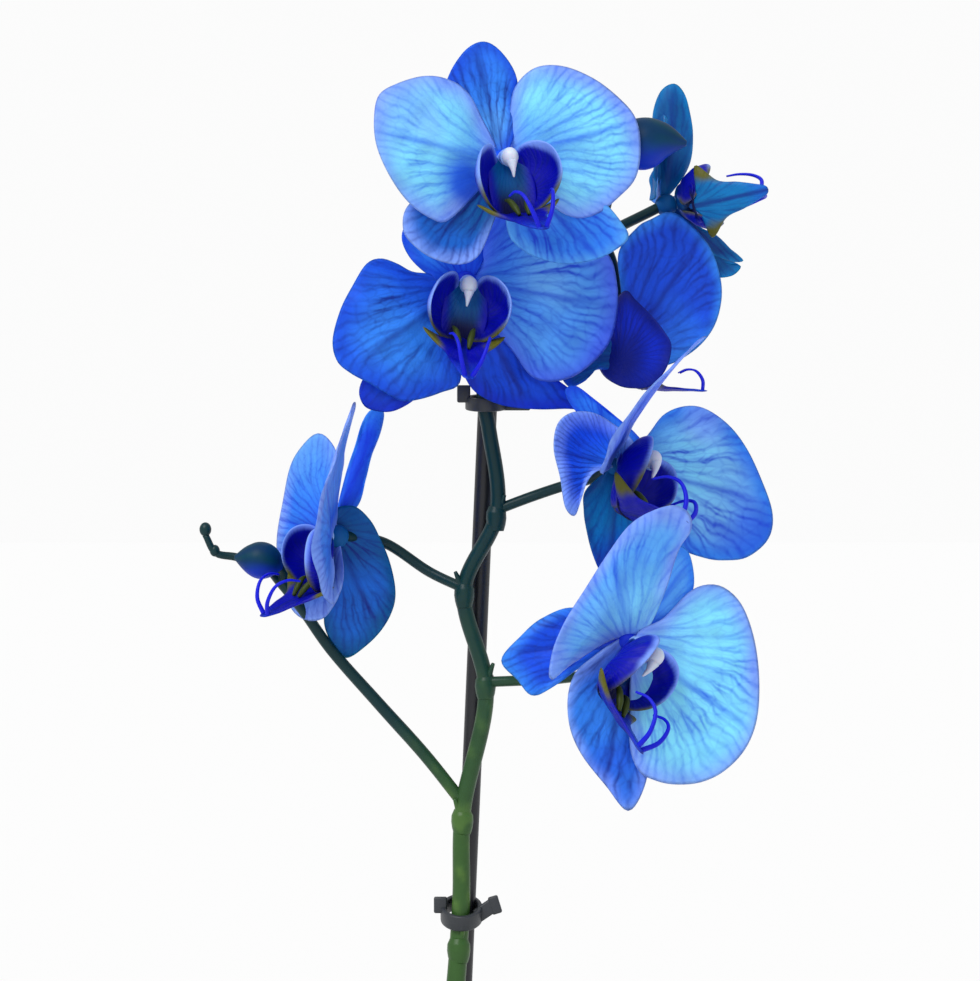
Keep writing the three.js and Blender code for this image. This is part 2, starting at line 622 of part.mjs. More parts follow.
function clipRing({ centre, outer: [outerX, outerY], height, tilt }) {
  const shape = new THREE.Shape().absellipse(0, 0, outerX, outerY, 0, 2 * Math.PI);
  const hole = new THREE.Path()
    .absellipse(0, 0, outerX - CLIP_WALL, outerY - CLIP_WALL, 0, 2 * Math.PI);
  shape.holes.push(hole);
  const ring = new THREE.ExtrudeGeometry(shape, { depth: height, bevelEnabled: false,
    curveSegments: 8 });
  ring.translate(0, 0, -height / 2);
  const matrix = new THREE.Matrix4().makeRotationX(THREE.MathUtils.degToRad(tilt))
    .setPosition(...centre);
  return moved(solidOf(ring), matrix);
}

function clip({ ring, tabs }) {
  const blocks = tabs.map(({ centre, size, lean }) => box(centre, size,
    [0, THREE.MathUtils.degToRad(lean), 0]));
  return join([clipRing(ring), ...blocks]);
}

// The plant's foot: a short leafy stem with thick roots
const ROOTS = [
  [[-18, -2, 124], [-10, -14, 131], [-2, -25, 127], [1, -31, 112]],
  [[-24, 4, 122], [-36, 14, 132], [-42, 24, 124], [-43, 28, 108]],
  [[-15, 4, 122], [-2, 4, 132], [12, 8, 130], [22, 15, 118]],
  [[-27, 1, 121], [-38, -8, 130], [-46, -16, 122], [-47, -20, 108]],
];

function crown(grow = 0) {
  const { x, y, bottom, top, radiusX, radiusY } = CROWN;
  const height = top - bottom;
  const body = ball([x, y, (top + bottom) / 2], [radiusX + grow, radiusY + grow,
    height / 2 + grow], 10, 6);
  const roots = ROOTS.map((path) => rod(path, [3.3 + grow, 3 + grow, 2.7 + grow], 6, 5));
  return join([body, ...roots]);
}

const LEAVES = [
  { azimuth: -12, length: 176, width: 62, start: 136, rise: 42, droop: -48 },
  { azimuth: 164, length: 168, width: 60, start: 140, rise: 48, droop: -40 },
  { azimuth: -22, length: 150, width: 56, start: 145, rise: 62, droop: -14 },
  { azimuth: 176, length: 140, width: 52, start: 149, rise: 70, droop: 2 },
  { azimuth: -8, length: 92, width: 36, start: 153, rise: 78, droop: 30 },
];

function leaf({ azimuth, length, width, start, rise, droop }) {
  const steps = 10;
  const across = 4;
  const heading = THREE.MathUtils.degToRad(azimuth);
  const out = new THREE.Vector3(Math.cos(heading), Math.sin(heading), 0);
  const side = new THREE.Vector3(-Math.sin(heading), Math.cos(heading), 0);
  const centre = new THREE.Vector3(CROWN.x, CROWN.y, start).addScaledVector(out, 5.5);
  const points = [];
  for (let i = 0; i <= steps; i += 1) {
    const s = i / steps;
    const elevation = THREE.MathUtils.degToRad(THREE.MathUtils.lerp(rise, droop, s ** 0.8));
    const up = new THREE.Vector3(0, 0, Math.cos(elevation))
      .addScaledVector(out, -Math.sin(elevation));
    const open = 0.24 + 0.76 * THREE.MathUtils.smoothstep(s, 0, 0.45);
    const tip = s > 0.6 ? Math.sqrt(Math.max(0, 1 - ((s - 0.6) / 0.4) ** 2)) : 1;
    const half = Math.max(1.2, (width / 2) * open * tip);
    const fold = THREE.MathUtils.lerp(0.55, 0.12, THREE.MathUtils.smoothstep(s, 0, 0.5));
    for (let j = 0; j <= across; j += 1) {
      const t = (2 * j) / across - 1;
      points.push(centre.clone().addScaledVector(side, half * t)
        .addScaledVector(up, half * fold * Math.abs(t)).toArray());
    }
    const step = length / steps;
    centre.addScaledVector(out, step * Math.cos(elevation));
    centre.z += step * Math.sin(elevation);
  }
  const at = (i, j) => i * (across + 1) + j;
  const faces = [];
  for (let i = 0; i < steps; i += 1) {
    for (let j = 0; j < across; j += 1) {
      faces.push([at(i, j), at(i + 1, j), at(i + 1, j + 1)]);
      faces.push([at(i, j), at(i + 1, j + 1), at(i, j + 1)]);
    }
  }
  const rim = [];
  for (let i = 0; i < steps; i += 1) rim.push(at(i, 0));
  for (let j = 0; j < across; j += 1) rim.push(at(steps, j));
  for (let i = steps; i > 0; i -= 1) rim.push(at(i, across));
  for (let j = across; j > 0; j -= 1) rim.push(at(0, j));
  return thicken(points, faces, rim, LEAF_THICKNESS);
}

// The vase and the bark that fills it
const vaseRadius = (z) => {
  const { height, baseRadius, rimRadius } = VASE;
  const rise = clamp(z / height, 0, 1) * (Math.PI / 2);
  return baseRadius + (rimRadius - baseRadius) * Math.sin(rise) ** 0.9;
};

function vase() {
  const { height, wall, floor, segments } = VASE;
  const outer = [0.03, 0.25, 0.5, 0.75, 0.96].map((t) => [vaseRadius(t * height), t * height]);
  const inner = [0.93, 0.7, 0.45, 0.2].map((t) => [vaseRadius(t * height) - wall, t * height]);
  const rimX = vaseRadius(height);
  const profile = [
    [0, 0], [VASE.baseRadius - 3, 0], ...outer,
    [rimX + 0.6, height - 3], [rimX, height], [rimX - wall + 1, height],
    ...inner, [VASE.baseRadius - wall - 4, floor], [0, floor],
  ];
  const lathe = new THREE.LatheGeometry(
    profile.map(([radius, z]) => new THREE.Vector2(radius, z)), segments,
  );
  lathe.rotateX(Math.PI / 2);
  return solidOf(lathe);
}

function randomFrom(seed) {
  let state = seed;
  return () => {
    state = (state * 1664525 + 1013904223) % 4294967296;
    return state / 4294967296;
  };
}

// Chips of bark lie over a round bed, spread by the golden angle
function bark() {
  const random = randomFrom(7);
  const goldenAngle = Math.PI * (3 - Math.sqrt(5));
  const { wall, floor } = VASE;
  const levels = [0.24, 0.53, 0.83, 1];
  const profile = [
    [0, floor + GAP], [VASE.baseRadius - wall - 5, floor + GAP],
    ...levels.map((t) => [vaseRadius(t * FILL_TOP) - wall - 1.2, t * FILL_TOP]),
    [0, FILL_TOP],
  ];
  const lathe = new THREE.LatheGeometry(
    profile.map(([radius, z]) => new THREE.Vector2(radius, z)), 24,
  );
  lathe.rotateX(Math.PI / 2);
  const parts = [solidOf(lathe)];
  const chips = 7;
  const reach = vaseRadius(FILL_TOP) - wall - 11;
  for (let i = 0; i < chips; i += 1) {
    const radius = reach * Math.sqrt((i + 0.5) / chips);
    const angle = i * goldenAngle;
    const size = [11 + 7 * random(), 8 + 5 * random(), 5 + 3 * random()];
    const turn = [0.5 * random() - 0.25, 0.5 * random() - 0.25, 2 * Math.PI * random()];
    const height = FILL_TOP + 0.5 + 1.5 * random();
    parts.push(box([radius * Math.cos(angle), radius * Math.sin(angle), height], size, turn));
  }
  return join(parts);
}

// The whole plant, each piece cut clear of the ones it is seated on
const group = new THREE.Group();

function add(name, solid, colour, roughness) {
  const body = largest(solid.simplify(FINEST_DETAIL));
  const mesh = body.getMesh();
  const geometry = new THREE.BufferGeometry();
  geometry.setAttribute("position", new THREE.BufferAttribute(mesh.vertProperties, 3));
  geometry.setIndex(new THREE.BufferAttribute(mesh.triVerts, 1));
  const material = new THREE.MeshStandardMaterial({ color: colour, roughness, metalness: 0 });
  const piece = new THREE.Mesh(geometry, material);
  piece.name = name;
  group.add(piece);
}

const stemClear = stem(GAP);
const stakeClear = stake(GAP);
const crownClear = crown(GAP);

add("vase", vase(), COLOUR.vase, 0.25);
add("bark", bark().subtract(crownClear).subtract(stakeClear).subtract(stemClear), COLOUR.bark,
  0.95);
add("crown", crown().subtract(stemClear), COLOUR.crown, 0.6);
LEAVES.forEach((shape, i) => {
  add(`leaf_${i + 1}`, leaf(shape).subtract(crownClear).subtract(stakeClear)
    .subtract(stemClear), COLOUR.leaf, 0.4);
});
add("stem", stem(), COLOUR.stem, 0.5);
add("stake", stake(), COLOUR.stake, 0.4);
CLIPS.forEach((shape) => {
  add(shape.name, clip(shape).subtract(stemClear).subtract(stakeClear), COLOUR.clip, 0.45);
});
BUDS.forEach((shape) => add(shape.name, bud(shape).subtract(stemClear), COLOUR.bud, 0.5));
FLOWERS.forEach((flower) => {
  const columnClear = column(flower, GAP);
  add(`${flower.name}_tepals`, tepals(flower).subtract(columnClear).subtract(lip(flower, GAP))
    .subtract(stemClear), COLOUR.tepal, 0.6);
  add(`${flower.name}_lip`, lip(flower).subtract(columnClear), COLOUR.lip, 0.5);
  add(`${flower.name}_column`, column(flower), COLOUR.column, 0.4);
});

export default group;
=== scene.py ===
"""A moth orchid with blue flowers, growing in bark in a plain white vase."""
import math

import bmesh
import bpy
import numpy as np
from mathutils import Euler, Matrix, Vector


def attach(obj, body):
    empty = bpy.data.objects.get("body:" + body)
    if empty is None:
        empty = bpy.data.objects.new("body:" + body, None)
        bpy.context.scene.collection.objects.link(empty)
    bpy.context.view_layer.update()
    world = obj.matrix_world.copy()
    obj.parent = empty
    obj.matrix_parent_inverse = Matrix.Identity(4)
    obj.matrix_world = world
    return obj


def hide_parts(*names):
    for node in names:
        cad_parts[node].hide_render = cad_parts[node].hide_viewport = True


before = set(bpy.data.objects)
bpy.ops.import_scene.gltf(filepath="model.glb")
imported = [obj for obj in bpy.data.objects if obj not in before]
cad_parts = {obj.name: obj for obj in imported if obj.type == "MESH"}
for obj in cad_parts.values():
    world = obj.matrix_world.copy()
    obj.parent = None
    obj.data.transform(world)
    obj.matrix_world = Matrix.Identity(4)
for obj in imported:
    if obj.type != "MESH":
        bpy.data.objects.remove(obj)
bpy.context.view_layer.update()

# Lengths are in millimetres until a piece is made
METRES = 0.001
BLADE_THICKNESS = 0.7
LOBE_THICKNESS = 0.9
LIP_THICKNESS = 1.3
LEAF_THICKNESS = 1.8
VASE = {"height": 150, "base": 46, "rim": 66, "wall": 5, "floor": 8, "rounding": 2.6}
FILL_TOP = 127
CROWN = {"x": -20, "y": 2, "bottom": 112, "top": 160, "radii": (10.5, 7)}
PEDICEL_RADIUS = 1.75
BUD_STALK_RADIUS = 1.6
STAKE = {"radius": 3.2, "bottom": (-12.5, 21.9, 20), "top": (8.1, -2.3, 495)}
HUB = {"radius": 3.8, "back": 1.2, "seat": 3.2}
CLIP_WALL = 1.7

# How finely the shapes are drawn
CURVE_STEPS = 40
RIM_POINTS = 96
RINGS = 20

RIM_WAVES = 3
VEINS_PER_RADIAN = 5
VEIN_STRENGTH = 0.7
TURN = 2 * math.pi
SEEDS = {"flower": 100, "blade": 10, "lip": 70, "bark": 7}


def srgb(seen):
    """A colour as seen, 0 to 255, in the linear values that shaders take."""
    seen = np.array(seen) / 255
    return np.where(seen <= 0.04045, seen / 12.92, ((seen + 0.055) / 1.055) ** 2.4)


def smooth(value, low, high):
    """0 below low, 1 above high, and a soft step between."""
    t = np.clip((np.asarray(value, float) - low) / (high - low), 0, 1)
    return t * t * (3 - 2 * t)


def colour(tint):
    """A colour by its name, or as it is."""
    return COLOURS[tint] if isinstance(tint, str) else np.asarray(tint)


def blend(share, first, second):
    """Rows of colour that go from first to second."""
    share = np.asarray(share, float)[..., None]
    return colour(first) * (1 - share) + colour(second) * share


def ripple(points, size, seed):
    """A smooth random value from -1 to 1 at each point, with waves of about that size."""
    random = np.random.default_rng(seed)
    total = 0
    for _ in range(6):
        direction = random.normal(size=points.shape[-1]) * (TURN / size / 1.7)
        total = total + np.sin(points @ direction + random.uniform(0, TURN))
    return total / 3


# Curves
def evenly(curve, count, closed=False):
    """Points at even distances along a fine polyline."""
    line = np.vstack([curve, curve[:1]]) if closed else curve
    length = np.concatenate([[0], np.cumsum(np.linalg.norm(np.diff(line, axis=0), axis=1))])
    wanted = np.linspace(0, length[-1], count, endpoint=not closed)
    return np.stack([np.interp(wanted, length, line[:, i]) for i in range(line.shape[1])], 1)


def cubic(t, here, after, leave, arrive):
    """The smooth way from here to after, with the given slopes at its ends."""
    return ((2 * t**3 - 3 * t**2 + 1) * here + (t**3 - 2 * t**2 + t) * leave
            + (3 * t**2 - 2 * t**3) * after + (t**3 - t**2) * arrive)


def closed_curve(points, count):
    """Evenly spaced points on the smooth closed curve through the given ones."""
    here = np.array(points, float)
    before, after, beyond = np.roll(here, 1, 0), np.roll(here, -1, 0), np.roll(here, -2, 0)
    t = np.linspace(0, 1, CURVE_STEPS, endpoint=False)[None, :, None]
    leave, arrive = ((after - before) / 2)[:, None], ((beyond - here) / 2)[:, None]
    curve = cubic(t, here[:, None], after[:, None], leave, arrive)
    return evenly(curve.reshape(-1, here.shape[1]), count, closed=True)


def open_curve(points, count):
    """Evenly spaced points on the smooth open curve through the given ones."""
    p = np.array(points, float)
    p = np.vstack([2 * p[0] - p[1], p, 2 * p[-1] - p[-2]])
    gap = np.sqrt(np.linalg.norm(np.diff(p, axis=0), axis=1))[:, None]
    t = np.linspace(0, 1, CURVE_STEPS)[:, None]
    pieces = []
    for i in range(1, len(p) - 2):
        d0, d1, d2 = gap[i - 1], gap[i], gap[i + 1]
        leave = ((p[i] - p[i - 1]) / d0 - (p[i + 1] - p[i - 1]) / (d0 + d1)
                 + (p[i + 1] - p[i]) / d1) * d1
        arrive = ((p[i + 1] - p[i]) / d1 - (p[i + 2] - p[i]) / (d1 + d2)
                  + (p[i + 2] - p[i + 1]) / d2) * d1
        pieces.append(cubic(t, p[i], p[i + 1], leave, arrive))
    return evenly(np.vstack(pieces), count)


# Parts of a piece: points in mm, faces, and colours at each point
def part(points, faces, tint, dye=None, vein=None):
    """tint is the ground colour, dye the colour of its veins and spots, and vein the
    place in the vein pattern with its strength."""
    size = (len(points), 3)
    tint = colour(tint)
    return {
        "points": np.asarray(points, float),
        "faces": faces,
        "tint": np.broadcast_to(tint, size),
        "dye": np.broadcast_to(tint if dye is None else dye, size),
        "vein": np.zeros(size) if vein is None else vein,
    }


def placed(made, matrix):
    """The part, carried to its place."""
    turn = np.array(matrix)
    made["points"] = made["points"] @ turn[:3, :3].T + turn[:3, 3]
    return made


def grid_faces(rows, columns, closed=False):
    """Quads between rows of points, the columns closed to a ring if asked."""
    across = np.arange(columns if closed else columns - 1)
    a = (np.arange(rows - 1)[:, None] * columns + across).ravel()
    b = (np.arange(rows - 1)[:, None] * columns + (across + 1) % columns).ravel()
    return np.stack([a, b, b + columns, a + columns], 1)


def barrel_faces(rings, around):
    """A closed body from rings of points, with the points at its two ends last."""
    count = rings * around

    def fan(ring, tip):
        return np.stack([ring, np.roll(ring, -1), np.full(around, tip)], 1)

    return [grid_faces(rings, around, closed=True), fan(np.arange(around), count)[:, ::-1],
            fan(np.arange(count - around, count), count + 1)]


def added(name, data):
    """A new object in the scene."""
    made = bpy.data.objects.new(name, data)
    bpy.context.scene.collection.objects.link(made)
    return made


def piece(name, parts, material, slot, *nodes):
    """One object from its parts, in the place of the nodes that it stands for."""
    points, faces, start = [], [], 0
    for made in parts:
        points.append(made["points"] * METRES)
        for group in made["faces"]:
            faces.extend((np.asarray(group) + start).tolist())
        start += len(made["points"])
    mesh = bpy.data.meshes.new(name)
    mesh.from_pydata(np.vstack(points).tolist(), [], faces)
    mesh.polygons.foreach_set("use_smooth", [True] * len(faces))
    for label in ("tint", "dye"):
        layer = mesh.color_attributes.new(label, "FLOAT_COLOR", "POINT")
        rows = np.vstack([made[label] for made in parts])
        layer.data.foreach_set("color", np.column_stack([rows, np.ones(start)]).ravel())
    vein = mesh.attributes.new("vein", "FLOAT_VECTOR", "POINT")
    vein.data.foreach_set("vector", np.vstack([made["vein"] for made in parts]).ravel())
    mesh.materials.append(material)
    mesh.validate()
    made = added(name, mesh)
    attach(made, "root")
    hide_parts(*nodes)


def vertex_normals(points, triangles):
    """Area-weighted normals of a triangle mesh."""
    a, b, c = (points[triangles[:, i]] for i in range(3))
    area = np.cross(b - a, c - a)
    normals = np.zeros_like(points)
    for i in range(3):
        np.add.at(normals, triangles[:, i], area)
    return normals / np.maximum(np.linalg.norm(normals, axis=1, keepdims=True), 1e-12)


def disc_triangles(rings, around):
    """A disc of triangles: point 0 in the middle, then the rings."""
    first = 1 + np.arange(around)
    quads = grid_faces(rings, around, closed=True) + 1
    middle = np.stack([np.zeros(around, int), first, np.roll(first, -1)], 1)
    return np.vstack([middle, quads[:, [0, 3, 2]], quads[:, [0, 2, 1]]])


def blade(shape, base, paint, relief, seed, thickness=BLADE_THICKNESS):
    """A thin petal-like sheet inside its outline, thinner at the rim.

    paint gets the sheet's own coordinates and gives tint, dye and vein strength.
    relief gets them too and gives what is added to the depth."""
    rim = closed_curve(shape["outline"], RIM_POINTS)
    middle = rim.mean(0)
    t = (np.arange(1, RINGS + 1) / RINGS) ** 0.85
    flat = np.vstack([middle, (middle + t[:, None, None] * (rim - middle)).reshape(-1, 2)])
    t = np.concatenate([[0], np.repeat(t, RIM_POINTS)])
    turn = np.concatenate([[0], np.tile(np.arange(RIM_POINTS) / RIM_POINTS, RINGS)])
    u, v = flat[:, 0], flat[:, 1]
    slope = shape["slope"]
    wave = shape.get("wave", 0) * t**3 * np.sin(TURN * RIM_WAVES * turn)
    depth = (shape.get("lift", 0) + slope[0] * u + slope[1] * v + shape.get("bend", 0) * v * v
             + shape.get("curl", 0) * u * u + shape.get("dish", 0) * t * t + wave)
    place = coordinates(flat, middle, base, t, turn)
    depth = depth + relief(place, seed)
    axes = {"front": (u, depth, v), "side": (depth, u, v), "top": (u, v, depth)}
    points = np.stack(axes[shape.get("view", "front")], 1)
    triangles = disc_triangles(RINGS, RIM_POINTS)
    normals = vertex_normals(points, triangles)
    half = thickness / 2 * np.sqrt(np.clip(1 - t**6, 0, 1))
    inner = np.arange(1 + (RINGS - 1) * RIM_POINTS)
    edge = np.arange(inner[-1] + 1, len(points))
    front = points + normals * half[:, None]
    back = points[inner] - normals[inner] * half[inner, None]
    matching = np.concatenate([inner + len(points), edge])
    tint, dye, strength = paint(place, seed)
    dye = np.broadcast_to(colour(dye), tint.shape)
    vein = np.stack([place["fan"], place["reach"], strength], 1)
    rows = [np.vstack([row, row[inner]]) for row in (tint, dye, vein)]
    return part(np.vstack([front, back]), [triangles, matching[triangles[:, ::-1]]], *rows)


def coordinates(flat, middle, base, t, turn):
    """Where each point of a sheet lies, seen from its base: angle, distance and rim share."""
    base = np.array(base, float)
    axis = (middle - base) / np.linalg.norm(middle - base)
    reach = np.linalg.norm(flat - base, axis=1).max()
    away = flat - (base - 0.1 * reach * axis)
    along, aside = away @ axis, away @ np.array([-axis[1], axis[0]])
    distance = np.hypot(along, aside)
    share = distance / distance.max()
    angle = np.arctan2(aside, along)
    return {"flat": flat, "u": flat[:, 0], "v": flat[:, 1], "t": t, "turn": turn,
            "aside": aside, "angle": angle, "reach": share, "fan": angle * (1 - 0.3 * share)}


def rod(path, radii, sides=20, steps=60, paint=None, tint=None):
    """A closed round bar along a smooth path, its radius spread evenly over the list.

    paint gets the points, the share of the length and the angle round the bar, and gives
    tint and dye. Without it the bar has the one tint."""
    line = open_curve(path, steps + 1)
    heading = np.gradient(line, axis=0)
    heading /= np.linalg.norm(heading, axis=1, keepdims=True)
    across = np.cross(heading[0], (0, 0, 1) if abs(heading[0][2]) < 0.9 else (1, 0, 0))
    rings = []
    share = np.linspace(0, 1, steps + 1)
    radius = np.interp(share * (len(radii) - 1), range(len(radii)), radii)
    angle = TURN * np.arange(sides) / sides
    for i in range(steps + 1):
        across = across - heading[i] * (across @ heading[i])
        across = across / np.linalg.norm(across)
        up = np.cross(heading[i], across)
        rings.append(line[i] + radius[i] * (np.cos(angle)[:, None] * across
                                            + np.sin(angle)[:, None] * up))
    points = np.vstack(rings + [line[:1], line[-1:]])
    faces = barrel_faces(steps + 1, sides)
    if paint is None:
        return part(points, faces, tint)
    shares = np.concatenate([np.repeat(share, sides), [0, 1]])
    angles = np.concatenate([np.tile(angle, steps + 1), [0, 0]])
    return part(points, faces, *paint(points, shares, angles))


def turned(profile, segments, tint):
    """A closed body turned about Z from its profile, which starts and ends on the axis."""
    angle = TURN * np.arange(segments) / segments
    points = [(radius * math.cos(a), radius * math.sin(a), z)
              for radius, z in profile[1:-1] for a in angle]
    points += [(0, 0, profile[0][1]), (0, 0, profile[-1][1])]
    return part(points, barrel_faces(len(profile) - 2, segments), tint)


def ball(centre, radii, tint, across=24, high=16):
    """A smooth ball with its own three radii."""
    rise = np.linspace(-math.pi / 2, math.pi / 2, high + 1)
    made = turned([(math.cos(a), math.sin(a)) for a in rise], across, tint)
    made["points"] = made["points"] * np.array(radii) + np.array(centre)
    return made


# Colours
COLOURS = {name: srgb(seen) for name, seen in {
    "mist": (128, 220, 255), "ice": (126, 200, 252), "sky": (88, 168, 248),
    "azure": (48, 132, 242), "tide": (20, 104, 208), "royal": (20, 82, 226),
    "cobalt": (6, 46, 205), "ultramarine": (0, 2, 168), "navy": (4, 22, 124),
    "lilac": (126, 162, 252), "violet": (80, 116, 246), "whisker_blue": (14, 24, 205),
    "teal": (0, 88, 152), "aqua": (0, 118, 186), "bud_teal": (0, 50, 88),
    "bud_green": (0, 66, 68), "olive": (92, 92, 24), "moss": (54, 68, 20),
    "pearl": (210, 218, 236), "pale_blue": (150, 186, 240), "stem_green": (52, 88, 40),
    "stem_light": (84, 120, 52), "stem_teal": (6, 48, 52), "leaf_green": (48, 98, 46),
    "leaf_light": (92, 138, 66), "leaf_under": (96, 120, 76), "root_silver": (166, 178, 150),
    "root_green": (116, 142, 92), "bark_dark": (62, 40, 28), "bark_red": (120, 78, 50),
    "bark_grey": (128, 110, 92), "glaze": (238, 236, 230), "charcoal": (42, 46, 52),
    "ink": (16, 18, 26),
}.items()}


# The flowers
def petal(look, veins, edge, slope, outline, patches=(), **more):
    """A blade of a flower, with its outline as across, up, across, up ... from the centre.

    look names the colours of its middle, rim, base and veins. veins and edge say how much
    the veins and the rim show. slope is how its depth grows across and up. A patch is a
    soft spot of another colour: its place, radius, colour and strength."""
    return {"look": look.split(), "veins": veins, "edge": edge, "slope": slope,
            "outline": np.reshape(outline, (-1, 2)), "patches": patches, **more}


def bloom(name, centre, pedicel, heart, *blades, **more):
    """A flower with its stalk.

    The heart says where its parts meet, how it is turned, how large its lip is, how far
    the lip reaches, how wide its side lobes stand open and how long the column is."""
    return {"name": name, "centre": centre, "pedicel": pedicel, "heart": heart,
            "blades": blades, **more}


